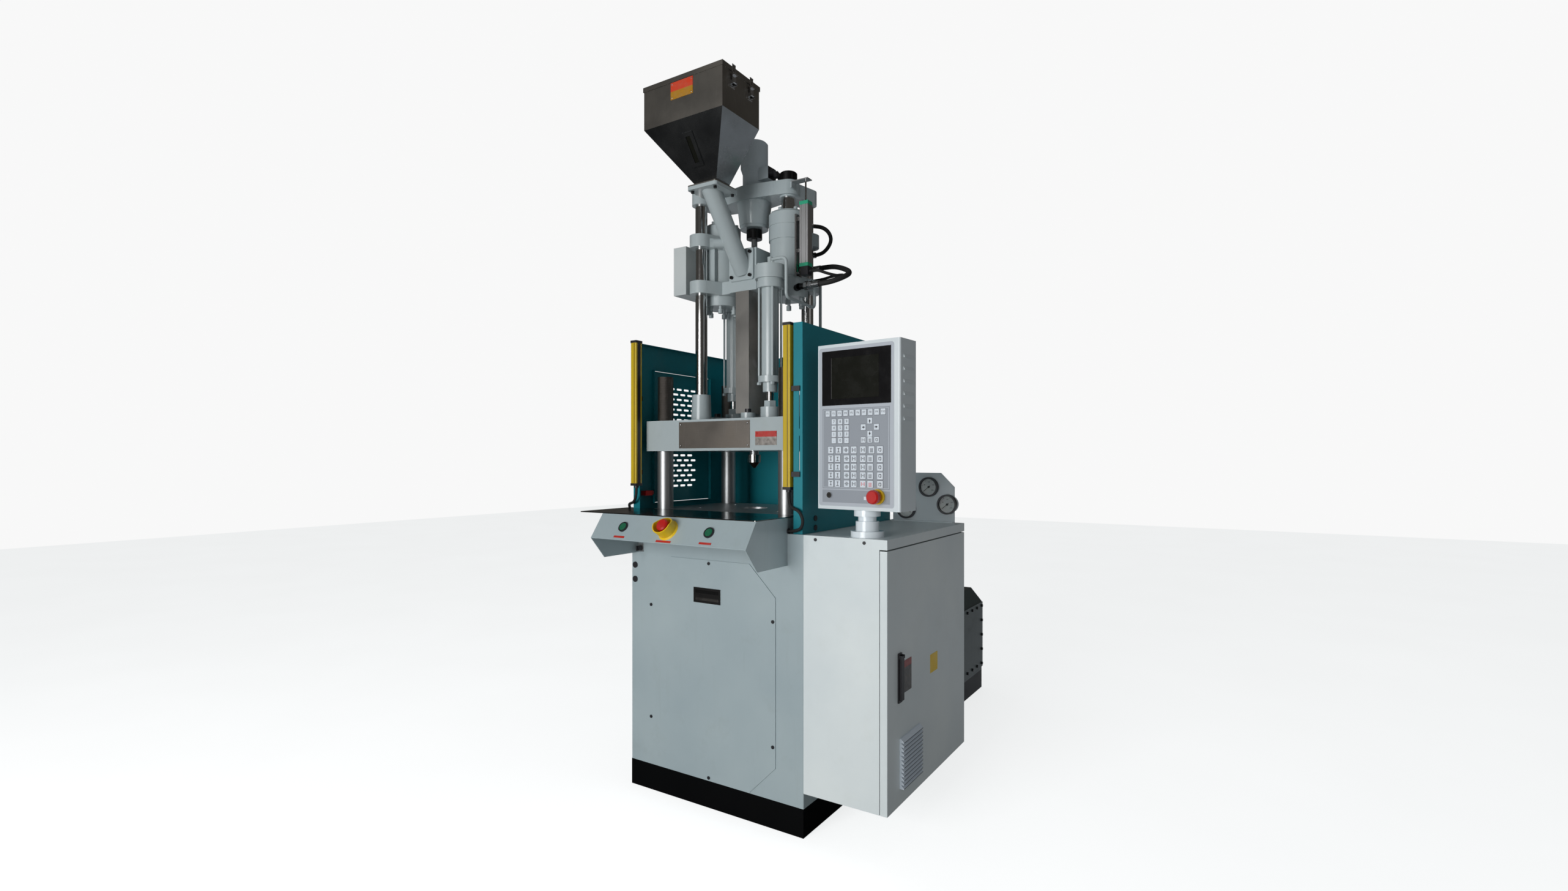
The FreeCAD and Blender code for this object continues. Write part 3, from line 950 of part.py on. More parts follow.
def build_guards():
    t, top = GUARD_T, GUARD_TOP
    # right guard: side sheet with a folded front return and a rear return
    x = GUARD_R_X
    side = box(x - t, GUARD_FRONT, BASE_TOP, x, Y1 - 6, top)
    front = box(x - GUARD_FLANGE, GUARD_FRONT, BASE_TOP, x, GUARD_FRONT + t, top)
    inner = box(x - GUARD_FLANGE, GUARD_FRONT, BASE_TOP, x - GUARD_FLANGE + t, GUARD_FRONT + 18, top)
    hem = box(x - 20, GUARD_FRONT, top - t, x, Y1 - 6, top)
    back = box(x - 60, Y1 - 6 - t, BASE_TOP, x, Y1 - 6, top)
    right = fuse([side, front, inner, hem, back])
    sx = GUARD_R_X - 13
    for low, high in GUARD_SLOTS:
        slot = box(sx, GUARD_FRONT - 1, BASE_TOP + low, sx + GUARD_SLOT_W, GUARD_FRONT + t + 1, BASE_TOP + high)
        right = right.cut(slot)
    keep("right_guard", right)
    # left guard: frame round the vented door
    x = GUARD_L_X
    z0 = BASE_TOP
    y = GUARD_L_FRONT
    side = box(x, y, z0, x + t, Y1 - 6, top)
    front = box(x, y, z0, X0 - GAP, y + t, top)
    hem = box(x, y, top - t, x + 20, Y1 - 6, top)
    foot = box(x, y + 8, z0, X0 + 20, Y1 - 6, z0 + t)
    left = fuse([side, front, hem, foot])
    left = left.cut(box(x - 1, DOOR_Y0, DOOR_Z0, x + t + 1, DOOR_Y1, DOOR_Z1))
    reveal = box(x, DOOR_Y0 - t, DOOR_Z0 - t, x + 14, DOOR_Y1 + t, DOOR_Z1 + t)
    reveal = reveal.cut(box(x - 1, DOOR_Y0, DOOR_Z0, x + 15, DOOR_Y1, DOOR_Z1))
    keep("left_guard", fuse([left, reveal]))
    # hinged door with staggered slots
    g = 1.5
    door = box(x, DOOR_Y0 + g, DOOR_Z0 + g, x + t, DOOR_Y1 - g, DOOR_Z1 - g)
    for r in range(VENT_ROWS):
        first = VENT_Y0 + (VENT_PITCH_Y / 2 if r % 2 else 0.0)
        z = VENT_Z0 + r * VENT_PITCH_Z
        for c in range(VENT_COLS):
            door = door.cut(slot_cutter(x - 1, x + t + 1, first + c * VENT_PITCH_Y, z, VENT_L, VENT_H))
    hx, hy = x - 4.3, DOOR_Y1 - g
    knuckles = []
    for z in DOOR_HINGE_Z:
        top_z = z + DOOR_HINGE_H
        knuckles += [rod(hx, hy, z, top_z, DOOR_HINGE_R), box(x - 2, hy - 16, z, x, hy, top_z)]
    gy0, gy1 = DOOR_Y0 + 20, DOOR_Y0 + 32
    gz0, gz1 = DOOR_GRIP_Z, DOOR_GRIP_Z + DOOR_GRIP_H
    grip = fuse([box(x - 26, gy0, gz0, x - 20, gy1, gz1), box(x - 24, gy0, gz0, x, gy1, gz0 + 12),
                 box(x - 24, gy0, gz1 - 12, x, gy1, gz1)])
    keep("left_guard_door", fuse([door, grip] + knuckles))
    for z in DOOR_HINGE_Z:
        lower = rod(hx, hy, z - 22, z - GAP, DOOR_HINGE_R)
        leaf = box(x - 2, hy, z - 22, x, DOOR_Y1 + 14, z - GAP)
        keep("left_guard", fuse([lower, leaf]))
    # rear guard: two sheets either side of an opening
    yb = Y1 - 20
    rear = fuse([box(GUARD_L_X + t, yb, BASE_TOP + t, GUARD_L_X + 260, yb + t, top - t),
                 box(GUARD_L_X + 258, yb - 12, BASE_TOP, GUARD_L_X + 260, yb + t, top)])
    keep("left_guard", rear)


def build_curtains():
    """Two light curtain bars with end caps, windows and swivel brackets."""
    bodies, caps, windows, brackets, glands = [], [], [], [], []
    for k, x in enumerate(CURTAIN_X):
        x0, x1 = x - CURTAIN_W / 2, x + CURTAIN_W / 2
        y0, y1 = CURTAIN_Y - CURTAIN_D / 2, CURTAIN_Y + CURTAIN_D / 2
        bar_body = box(x0, y0, CURTAIN_Z0 + CURTAIN_END, x1, y1, CURTAIN_Z1 - CURTAIN_END)
        bar_body = round_edges(bar_body, 3.0, upright)
        inward = x1 if k == 0 else x0
        bar_body = bar_body.cut(box(inward - 2, y0 + 7, CURTAIN_Z0, inward + 2, y1 - 7, CURTAIN_Z1))
        bodies.append(bar_body)
        wx = (inward - 2, inward - 0.5) if k == 0 else (inward + 0.5, inward + 2)
        windows.append(box(wx[0], y0 + 7, CURTAIN_Z0 + CURTAIN_END, wx[1], y1 - 7, CURTAIN_Z1 - CURTAIN_END))
        for z in (CURTAIN_Z0, CURTAIN_Z1 - CURTAIN_END):
            caps.append(box(x0 - 0.5, y0 - 0.5, z, x1 + 0.5, y1 + 0.5, z + CURTAIN_END))
        for z in CURTAIN_BRACKETS:
            if k:
                brackets.append(box(x1, GUARD_FRONT - 5, z - 8, GUARD_R_X - 8, GUARD_FRONT, z + 8))
            else:
                brackets.append(box(GUARD_L_X + 2, y1, z - 8, x0 + 20, GUARD_L_FRONT, z + 8))
        glands.append(rod(x, CURTAIN_Y, CURTAIN_Z0 - LEAD_GLAND_L, CURTAIN_Z0, LEAD_GLAND_R))
    glands.append(bar((RAIL_X1, RIGHT_LEAD[-1][1], RIGHT_LEAD[-1][2]), (1, 0, 0), LEAD_GLAND_L, LEAD_GLAND_R))
    glands.append(bar((X0, LEFT_LEAD[-1][1], LEFT_LEAD[-1][2]), (-1, 0, 0), LEAD_GLAND_L, LEAD_GLAND_R))
    keep("curtain_bars", Part.makeCompound(bodies))
    keep("curtain_fittings", *(caps + windows + brackets + glands))
    limp_cord("right_curtain_lead", RIGHT_LEAD, LEAD_R)
    limp_cord("left_curtain_lead", LEFT_LEAD, LEAD_R)


# ================================================================ console
def console_frame():
    """Placement of the console's button face: origin at its middle, +Z out of the face."""
    top, nose = V(0, CONSOLE_Y[0], CONSOLE_Z[0]), V(0, CONSOLE_Y[1], CONSOLE_Z[1])
    up = top.sub(nose).normalize()
    out = V(1, 0, 0).cross(up)
    mid = (top + nose) * 0.5
    return FreeCAD.Placement(mid, FreeCAD.Rotation(V(1, 0, 0), up, out, "XZY"))


def on_console(shape, x, v=0.0, out=0.0):
    """Moves a shape modelled at the origin onto the button face."""
    shift = FreeCAD.Placement(V(x, v, out), FreeCAD.Rotation())
    shape.Placement = console_frame().multiply(shift).multiply(shape.Placement)
    return shape


def build_console():
    t = CONSOLE_T
    (ya, yb, yc), (za, zb, zc) = CONSOLE_Y, CONSOLE_Z
    side = [(0, ya, za), (0, yb, zb), (0, yc, zc), (0, Y0, zc), (0, Y0, za)]
    plates = []
    for x in (CONSOLE_X0, CONSOLE_X1 - t):
        plates.append(prism([(x, y, z) for _, y, z in side], (t, 0, 0)))
    length = CONSOLE_X1 - CONSOLE_X0
    face = Part.makeBox(length, math.hypot(ya - yb, za - zb), t)
    face.translate(V(CONSOLE_X0, -math.hypot(ya - yb, za - zb) / 2, -t))
    face = on_console(face, 0)
    fold = [(yb, zb), (yb + 14, zb), (yb + 14, zb + t), (yb + 1, zb + t)]
    lip = prism([(CONSOLE_X0, y, z) for y, z in fold], (length, 0, 0))
    top = box(CONSOLE_X0, ya, za - t, CONSOLE_X1, ya + 30, za)
    back = box(CONSOLE_X0, Y0 - t, zc, CONSOLE_X1, Y0, zc + 38)
    back = back.cut(bar((SELECTOR_X, Y0 - t - 1, SELECTOR_Z), (0, 1, 0), t + 2, 8))
    gland = bar((CONSOLE_X1 - 10, RIGHT_LEAD[-1][1], RIGHT_LEAD[-1][2]), (1, 0, 0), 20, LEAD_GLAND_R + GAP)
    body = fuse(plates + [face, lip, top, back]).cut(gland)
    for x in BUTTON_X:
        body = body.cut(on_console(Part.makeCylinder(BUTTON_R + 2, 20, V(0, 0, -10)), x))
    body = body.cut(on_console(Part.makeCylinder(11, 20, V(0, 0, -10)), STOP_X))
    keep("console", body)
    bezels = []
    for k, x in enumerate(BUTTON_X):
        ring = Part.makeCylinder(BEZEL_R, 5).cut(Part.makeCylinder(BUTTON_R + GAP, 30, V(0, 0, -1)))
        bore = Part.makeCylinder(BUTTON_R + GAP, SWITCH_DEPTH + 2, V(0, 0, -SWITCH_DEPTH - 1))
        neck = Part.makeCylinder(BUTTON_R + 1.9, SWITCH_DEPTH, V(0, 0, -SWITCH_DEPTH)).cut(bore)
        block = Part.makeBox(30, 30, 30, V(-15, -15, -SWITCH_DEPTH - 30))
        bezels.append(on_console(fuse([ring, neck, block]), x))
        cap_low = BUTTON_TRAVEL + 1 - SWITCH_DEPTH
        cap = Part.makeCylinder(BUTTON_R, 5 - cap_low, V(0, 0, cap_low))
        keep("%s_button" % ("left", "right")[k], on_console(cap, x))
    keep("switch_bezels", Part.makeCompound(bezels))
    for x, w in ((BUTTON_X[0], 46), (STOP_X, 60), (BUTTON_X[1], 46)):
        tag = Part.makeBox(w, TAG_H, TAG_T, V(-w / 2, -TAG_H / 2, 0))
        keep("console_trim", on_console(tag, x, -40.4 if x == STOP_X else -36))
    build_stop("console", lambda s: on_console(s, STOP_X), True)


def build_stop(name, place, shrouded):
    """Mushroom stop button: head with its stem, collar and, on the console, a shroud."""
    head = fuse([Part.makeCylinder(STOP_R, STOP_HEAD_H, V(0, 0, 22)),
                 Part.makeCone(STOP_R, STOP_R - 4, 4, V(0, 0, 22 + STOP_HEAD_H)),
                 Part.makeCylinder(8, 30, V(0, 0, -6))])
    keep(name + "_stop_head", place(head))
    ring = Part.makeCylinder(14 if shrouded else 22, 14 if shrouded else 8)
    ring = fuse([ring, Part.makeCylinder(10.5, 30, V(0, 0, -30))]).cut(Part.makeCylinder(8 + GAP, 40, V(0, 0, -12)))
    keep("switch_bezels" if shrouded else "panel_face", place(ring))
    if not shrouded:
        return
    # open-topped guard ring, higher at the back, on a wide foot
    foot = Part.makeCone(36, 31, 5)
    wall = Part.makeCone(31, 33, 40, V(0, 0, 0)).cut(Part.makeCone(28, 30, 42, V(0, 0, 5)))
    slope = Part.makeBox(90, 90, 60, V(-45, -45, 0))
    slope.rotate(V(0, 0, 0), V(1, 0, 0), -28)
    slope.translate(V(0, 10, 34))
    shroud = fuse([foot, wall]).cut(slope).cut(Part.makeCylinder(14 + SEAT, 20, V(0, 0, -1)))
    keep("console_trim", place(shroud))


def build_front_fittings():
    """Plugs, selector and interlock switch."""
    plugs = [bar((X0 + 17.5, Y0, BASE_TOP - drop), (0, -1, 0), 3, 11) for drop in (197, 146)]
    plugs += [bar((GUARD_R_X, Y0 + 90, BASE_TOP + rise), (1, 0, 0), 3, 9) for rise in (15, 45)]
    keep("switch_bezels", Part.makeCompound(plugs))
    yp = Y0 - CONSOLE_T
    plate = box(SELECTOR_X - 12.5, yp - 2, SELECTOR_Z - 13, SELECTOR_X + 12.5, yp, SELECTOR_Z + 17)
    keep("console", plate.cut(bar((SELECTOR_X, yp - 3, SELECTOR_Z), (0, 1, 0), 4, 8)))
    knob = fuse([bar((SELECTOR_X, yp + 1, SELECTOR_Z), (0, -1, 0), 8, 7),
                 bar((SELECTOR_X, yp - 2.5, SELECTOR_Z), (0, -1, 0), 15, 9),
                 box(SELECTOR_X - 2.5, yp - 24, SELECTOR_Z - 9, SELECTOR_X + 2.5, yp - 17, SELECTOR_Z + 9)])
    keep("selector_knob", knob)
    # interlock switch on the inside of the left guard, over the front edge of its door
    lx = GUARD_L_X + GUARD_T
    y, z = GUARD_L_FRONT + 36, BASE_TOP + 98
    switch = fuse([box(lx, y, z, lx + 26, y + 34, z + 18), bar((lx, y + 42, z + 9), (1, 0, 0), 20, 7),
                   box(lx, y + 36, z + 2, lx + 14, y + 54, z + 16)])
    keep("console_trim", switch)


# ================================================================ cabinet
def four_walls(x0, x1, y0, y1, z0, z1, t):
    """Floor, roof, front and rear of a square duct along X, as four boxes that meet face to face."""
    return [box(x0, y0, z0, x1, y1, z0 + t), box(x0, y0, z1 - t, x1, y1, z1),
            box(x0, y0, z0 + t, x1, y0 + t, z1 - t), box(x0, y1 - t, z0 + t, x1, y1, z1 - t)]


def build_cabinet():
    t = CAB_T
    top = BASE_TOP - CAB_TOP_H
    keep("cabinet", box(X1, Y0, CAB_Z0, X1 + t, Y1, top))
    keep("cabinet", *four_walls(X1 + t, CAB_X1, Y0, Y1, CAB_Z0, top, t))
    keep("cabinet", *four_walls(CAB_X1 - CAB_FRAME_T, CAB_X1, Y0 + t, Y1 - t, CAB_Z0 + t, top - t, CAB_FRAME_W))
    cover = box(X1, Y0, top, CAB_X1 + CAB_DOOR_T, Y1, BASE_TOP)
    cover = cover.cut(box(X1 + 3, Y0 + 3, top - 1, CAB_X1 + CAB_DOOR_T - 3, Y1 - 3, BASE_TOP - 3))
    keep("cabinet", cover)
    for x in (X1 + 42.5, CAB_X1 - 48):
        keep("front_hardware", bar((x, Y0, BASE_TOP - 12), (0, -1, 0), 2, 5))
    g = CAB_DOOR_GAP
    dx0, dx1 = CAB_X1 + g, CAB_X1 + CAB_DOOR_T
    door = box(dx0, Y0, CAB_Z0, dx1, Y1, top - 2 * g)
    door = round_edges(door, 2.0, lambda e: upright(e) and abs(e.Vertexes[0].X - dx1) < 0.1)
    door = door.cut(box(dx0 - 1, Y0 + t, CAB_Z0 + t, dx1 - t, Y1 - t, top - 2 * g - t))
    hole = box(dx1 - t - 1, GRILLE_Y0 + 12, GRILLE_Z0 + 12,
               dx1 + 1, GRILLE_Y0 + GRILLE_W - 12, GRILLE_Z0 + GRILLE_H - 12)
    door = door.cut(hole)
    z0, z1 = CAB_Z0, top - 2 * g
    flange = box(dx0, Y0 + t, z0 + t, dx0 + 2, Y1 - t, z1 - t)
    flange = flange.cut(box(dx0 - 1, Y0 + 14, z0 + 14, dx0 + 3, Y1 - 14, z1 - 14))
    keep("door_trim", *four_walls(CAB_X1 + GAP, dx0, Y0 + 3, Y1 - 3, z0 + 3, z1 - 3, GASKET_W))
    parts = [door, flange]
    hx, hy = CAB_X1 + 1, Y1 + 4.5
    for z in (CAB_Z0 + 80, top - 140):
        half = z + CAB_HINGE_H / 2
        low, high = half + GAP, z + CAB_HINGE_H
        parts += [rod(hx, hy, z, half, 4), box(hx, Y1, z, dx1 - 6, Y1 + 2, half), box(hx, Y1, z, hx + 3.5, hy, half)]
        keep("cabinet", fuse([rod(hx, hy, low, high, 4), box(CAB_X1 - 34, Y1, low, CAB_X1 - 1, Y1 + 2, high),
                              box(hx - 3.5, Y1, low, CAB_X1 - 0.5, hy, high)]))
    keep("cabinet_door", fuse(parts))
    base = box(dx1, HANDLE_Y0, HANDLE_Z0, dx1 + 4, HANDLE_Y1, HANDLE_Z1)
    keep("door_trim", round_edges(base, 1.5, lambda e: abs(e.Length - 4) < 0.01))
    pin_x, pin_z = dx1 + 8.6, HANDLE_Z1 - 10
    keep("door_trim", bar((pin_x, HANDLE_Y0, pin_z), (0, 1, 0), HANDLE_Y1 - HANDLE_Y0, HANDLE_PIN_R))
    for y in (HANDLE_Y0, HANDLE_Y1 - 3 + GAP):
        ear = box(dx1 + 4, y, pin_z - 5, pin_x + 4, y + 3 - GAP, pin_z + 5)
        keep("door_trim", ear.cut(bar((pin_x, y - 1, pin_z), (0, 1, 0), 5, HANDLE_PIN_R)))
    grip = box(dx1 + 4.8, HANDLE_Y0 + 3, HANDLE_Z0 + 8, dx1 + HANDLE_T, HANDLE_Y1 - 3, HANDLE_Z1 - 8)
    grip = round_edges(grip, 2.0, lambda e: abs(e.Length - (HANDLE_T - 4.8)) < 0.01)
    pin_hole = bar((pin_x, HANDLE_Y0, pin_z), (0, 1, 0), HANDLE_Y1 - HANDLE_Y0, HANDLE_PIN_R + RUN)
    keep("door_handle", grip.cut(pin_hole))
    # bare plate beside the handle, and a plain patch
    keep("door_trim", box(dx1, HANDLE_Y1 + 20, HANDLE_Z0 + 20, dx1 + 1, HANDLE_Y1 + 78, HANDLE_Z1 - 31))
    keep("door_trim", box(dx1, Y0 + 336, HANDLE_Z0 + 25, dx1 + 0.6, Y0 + 401, HANDLE_Z0 + 85))
    build_grille(dx1)


def build_grille(x):
    """Filter grille: a frame with sawtooth slats that shed water downwards."""
    y0, y1 = GRILLE_Y0, GRILLE_Y0 + GRILLE_W
    z0, z1 = GRILLE_Z0, GRILLE_Z0 + GRILLE_H
    frame = box(x, y0, z0, x + 4, y1, z1).cut(box(x - 1, y0 + 14, z0 + 14, x + 5, y1 - 14, z1 - 14))
    pitch = (z1 - z0) / GRILLE_SLATS
    slats = []
    for k in range(GRILLE_SLATS):
        z = z0 + k * pitch
        tooth = [(x, y0, z + pitch), (x + 4, y0, z + pitch), (x + GRILLE_T, y0, z + 2.5), (x + GRILLE_T, y0, z),
                 (x + 4, y0, z + pitch - 6), (x, y0, z + pitch - 4)]
        slats.append(prism(tooth, (0, y1 - y0, 0)))
    for y in (y0, y1 - 3):
        for k in range(GRILLE_SLATS):
            z = z0 + k * pitch
            cheek = [(x, z), (x, z + pitch), (x + 4, z + pitch), (x + GRILLE_T, z + 2), (x + GRILLE_T, z)]
            slats.append(prism([(cx, y, cz) for cx, cz in cheek], (0, 3, 0)))
    keep("door_trim", fuse([frame] + slats))


# ================================================================ control panel
def turned(shape):
    """Turns a shape built square to the machine about the post."""
    shape.rotate(V(POST_X, POST_Y, 0), V(0, 0, 1), PANEL_TURN)
    return shape


def build_panel():
    z = BASE_TOP
    steps = []
    for r, h in POST_STEPS:
        steps.append(rod(POST_X, POST_Y, z, z + h, r))
        z += h
    keep("cabinet", fuse(steps))
    head_z0 = z + GAP
    keep("panel_case", turned(rod(POST_X, POST_Y, head_z0, PANEL_Z, POST_HEAD_R)))
    x0 = POST_X + PANEL_OFF - PANEL_W / 2
    y0 = POST_Y - PANEL_D / 2
    z0, z1 = PANEL_Z, PANEL_Z + PANEL_H
    case = box(x0, y0, z0, x0 + PANEL_W, y0 + PANEL_D, z1)
    case = round_edges(case, PANEL_R, upright)
    case = case.cut(box(x0 + 2, y0 + 3, z0 + 2, x0 + PANEL_W - 2, y0 + PANEL_D - 2, z1 - 2))
    for hole in switch_holes(x0, y0, z1):
        case = case.cut(hole)
    # louvres pressed out of the right side
    louvres = []
    for k in range(6):
        lz = z1 - 44 - k * 36
        fin = [(0, 0), (4, -11), (0, -11)]
        louvres.append(prism([(x0 + PANEL_W + dx, y0 + 20, lz + dz) for dx, dz in fin], (0, 56, 0)))
    keep("panel_case", turned(fuse([case] + louvres)))
    # front: silver sheet, dark window, keypad sheet and the lower strip
    face = box(x0 + FACE_X[0], y0 - 0.8, z1 - FACE_Z[1], x0 + FACE_X[1], y0, z1 - FACE_Z[0])
    face = round_edges(face, 8.0, lambda e: abs(e.Length - 0.8) < 0.01)
    wx = x0 + SCREEN_X
    window = box(wx, y0 - 1.5, z1 - SCREEN_Z - SCREEN_H, wx + SCREEN_W, y0 - 0.8, z1 - SCREEN_Z)
    strip = box(x0 + PAD_X[0], y0 - 1.2, z1 - STRIP_Z[1], x0 + PAD_X[1], y0 - 0.8, z1 - STRIP_Z[0])
    keys = [box(x0 + x - w / 2, y0 - 2, z1 - z - h / 2, x0 + x + w / 2, y0 - 1.2, z1 - z + h / 2)
            for x, z, w, h in key_places()]
    pad = fuse([box(x0 + PAD_X[0], y0 - 1.2, z1 - PAD_Z1, x0 + PAD_X[1], y0 - 0.8, z1 - PAD_Z0)] + keys)
    for hole in switch_holes(x0, y0, z1):
        face = face.cut(hole)
        strip = strip.cut(hole)
    keep("panel_face", *[turned(q) for q in (face, window, strip, pad)])
    place = FreeCAD.Placement(V(x0 + PANEL_STOP[0], y0 - 1.2, z1 - PANEL_STOP[1]),
                              FreeCAD.Rotation(V(1, 0, 0), V(0, 0, 1), V(0, -1, 0), "XZY"))

    def on_strip(shape):
        shape.Placement = place.multiply(shape.Placement)
        return turned(shape)
    build_stop("panel", on_strip, False)
    kx, kz = x0 + PANEL_LOCK[0], z1 - PANEL_LOCK[1]
    lock = fuse([bar((kx, y0 - 1.2, kz), (0, -1, 0), 5, 8.5), bar((kx, y0 + 22, kz), (0, -1, 0), 23.2, 7)])
    lock = lock.cut(bar((kx, y0 + 0.5, kz), (0, -1, 0), 10, 5 + GAP))
    keep("panel_face", turned(lock))
    core = bar((kx, y0 - 0.2, kz), (0, -1, 0), 6, 5)
    core = core.cut(box(kx - 0.7, y0 - 8, kz - 4, kx + 0.7, y0 - 3, kz + 4))
    keep("key_core", turned(core))


def switch_holes(x0, y0, z1):
    """Holes for the panel's stop button and key switch."""
    return [bar((x0 + PANEL_STOP[0], y0 - 4, z1 - PANEL_STOP[1]), (0, 1, 0), 9, 10.5 + SEAT),
            bar((x0 + PANEL_LOCK[0], y0 - 4, z1 - PANEL_LOCK[1]), (0, 1, 0), 9, 7 + SEAT)]


def key_places():
    """Centres and sizes of the keys, from the panel's top left corner."""
    keys = [(39.8 + 21.3 * k, 209.4, 15.5, 17.5) for k in range(10)]
    keys += [(62.1 + 22.6 * c, 234.3 + 18.9 * r, 15.7, 16.7) for r in range(4) for c in range(3)]
    keys += [(x, z, 16.5, 17.5) for x, z in ((187.0, 234.7), (165.0, 253.2), (209.5, 253.2), (187.0, 272.7))]
    keys += [(165.0 + 22.5 * c, 290.5, 15.7, 16.7) for c in range(3)]
    keys += [(x, 319.6, 19.5, 20.8) for x in (51.0, 78.5, 104.9, 132.5, 163.8, 193.0, 221.0)]
    keys += [(x, 345.5 + 24.9 * r, 19.0, 20.5)
             for r in range(4) for x in (51.0, 75.3, 107.5, 132.5, 163.5, 188.2, 221.0)]
    return keys


# ================================================================ gauges
def build_gauges():
    y = GAUGE_Y
    c = GAUGE_CUT
    ring = [(GAUGE_X0, y, BASE_TOP), (GAUGE_X1, y, BASE_TOP), (GAUGE_X1, y, GAUGE_TOP - c),
            (GAUGE_X1 - c, y, GAUGE_TOP), (GAUGE_X0, y, GAUGE_TOP)]
    plate = prism(ring, (0, GAUGE_PLATE_T, 0))
    foot = box(GAUGE_X0, y - 22, BASE_TOP, GAUGE_X1, y, BASE_TOP + GAUGE_PLATE_T)
    for x, z in GAUGE_AT:
        plate = plate.cut(bar((x, y - 1, z), (0, 1, 0), 10, GAUGE_R - 5 + SEAT))
    keep("gauges", fuse([plate, foot]))
    cases, dials, lenses = [], [], []
    for k, (x, z) in enumerate(GAUGE_AT):
        front = y - 16
        case = fuse([bar((x, y, z), (0, -1, 0), 16, GAUGE_R),
                     bar((x, y + GAUGE_DEPTH, z), (0, -1, 0), GAUGE_DEPTH + 1, GAUGE_R - 5)])
        case = case.cut(bar((x, front - 1, z), (0, 1, 0), DIAL_DEPTH + 1, GAUGE_R - 6))
        cases.append(case)
        dials.append(bar((x, front + DIAL_DEPTH, z), (0, -1, 0), 1.2, GAUGE_R - 6 - SEAT))
        lenses.append(bar((x, front + 3, z), (0, -1, 0), 2, GAUGE_R - 6 - SEAT))
        needle = fuse([bar((x, front + 9.5, z), (0, -1, 0), 3, 4),
                       box(x - 0.9, front + 7, z - 8, x + 0.9, front + 8.2, z + 24)])
        needle.rotate(V(x, front, z), V(0, 1, 0), -130)
        keep("gauge_needle_%d" % (k + 1), needle)
    keep("gauges", Part.makeCompound(cases))
    keep("gauges", Part.makeCompound(dials))
    keep("gauge_lenses", Part.makeCompound(lenses))


def build_pipes():
    """Hard pipes of the carriage and the two hoses with the sensor cable."""
    x, y = LIFT_AT[0]
    cap_top = LIFT_TOP_Z + LIFT_FLANGE_T + LIFT_CAP_H
    banjo = fuse([rod(x, y, cap_top, cap_top + 30, 9), hexagon(x, y, cap_top, cap_top + 8, 24)])
    pz = cap_top + 22
    r = HARD_PIPE_R
    end = INJ_X + INJ_HEAD_R
    side, back, dip, port_z = x + 64, 28, CARR_Z - 65, CARR_Z + 27
    front = hard_pipe([(x + 8, y, pz), (side, y, pz), (side, y, dip), (side, back, dip - 6),
                       (side, back, port_z), (end - 5, back, port_z)], r, HARD_PIPE_BEND)
    union = bar((end - 8, back, port_z), (1, 0, 0), 20, 9)
    near = rod(INJ_X, 0, INJ_BOTTOM, INJ_TOP, INJ_HEAD_R + SEAT)
    keep("lift_cylinders", fuse([banjo, front, union.cut(near)]).cut(near))
    jx = JUNCTION[3]
    low = LIFT_NECK_Z + LIFT_NECK_H + LIFT_END_T / 2
    mid, out_y, start_z = (JUNCTION[0] + JUNCTION[3]) / 2 + 4, JUNCTION[4] + 20, CARR_Z + 77
    rear = hard_pipe([(mid, JUNCTION[4], start_z), (mid, out_y + 6, start_z), (x - 4, out_y, start_z - 12),
                      (x - 4, out_y, low), (x + 26, out_y - 42, low), (x + 26, y + 81, low),
                      (x + 8, y + 37, low)], r, HARD_PIPE_BEND)
    near = rod(x, y, low - 20, low + 20, LIFT_END_R + 0.05)
    keep("lift_cylinders", rear.cut(near))
    # hose unions: one on the right end cap, one on the gland, both feed the manifold block
    hx, hy, hz = HOSE_1[0]
    out = V(math.cos(math.radians(UNION_AIM)), math.sin(math.radians(UNION_AIM)), 0)
    foot = V(INJ_X, 0, hz) + out * (INJ_R + 2)
    knee = V(INJ_X, 0, hz) + out * (INJ_HEAD_R + 20)
    run = V(hx, hy, hz).sub(knee)
    elbow = [Part.makeCylinder(12, knee.sub(foot).Length, foot, out), Part.makeSphere(12, knee),
             Part.makeCylinder(10.5, run.Length, knee, run)]
    for along, size in ((0.28, 27), (0.5, 25)):
        nut = hexagon(0, 0, 0, 12, size)
        nut.Placement = FreeCAD.Placement(knee + run * along, FreeCAD.Rotation(V(0, 0, 1), run))
        elbow.append(nut)
    elbow.append(Part.makeCylinder(12, run.Length * 0.36, knee + run * 0.64, run))
    lower = fuse(elbow).cut(rod(INJ_X, 0, INJ_BOTTOM, INJ_TOP, INJ_HEAD_R + SEAT))
    port = V(INJ_X, 0, HOSE_2[0][2])
    aim = V(*HOSE_2[1]).sub(V(*HOSE_2[0])).normalize()
    reach = V(*HOSE_2[0]).sub(port).Length
    upper = fuse([Part.makeCylinder(8.5, reach - 50, port.add(aim * 50), aim),
                  Part.makeCylinder(10, 14, port.add(aim * (reach - 14)), aim)])
    upper = upper.cut(rod(INJ_X, 0, INJ_BOTTOM, INJ_TOP, INJ_HEAD_R + SEAT))
    unions = [lower, upper]
    for hose in (HOSE_1, HOSE_2):
        fx, fy, fz = hose[-1]
        unions.append(fuse([bar((jx, fy, fz), (1, 0, 0), fx - jx, 10.5), bar((jx, fy, fz), (1, 0, 0), 12, 12.5)]))
    gland = CABLE[-1]
    unions.append(bar((jx, gland[1], gland[2]), (1, 0, 0), gland[0] - jx, 7))
    scale_side = SCALE_X + SCALE_W / 2
    unions.append(bar((scale_side, CABLE[0][1], CABLE[0][2]), (1, 0, 0), CABLE[0][0] - scale_side, 7))
    keep("hose_unions", *unions)
    limp_cord("hose_1", HOSE_1, HOSE_R)
    limp_cord("hose_2", HOSE_2, HOSE_2_R)
    limp_cord("sensor_cable", CABLE, CABLE_R)


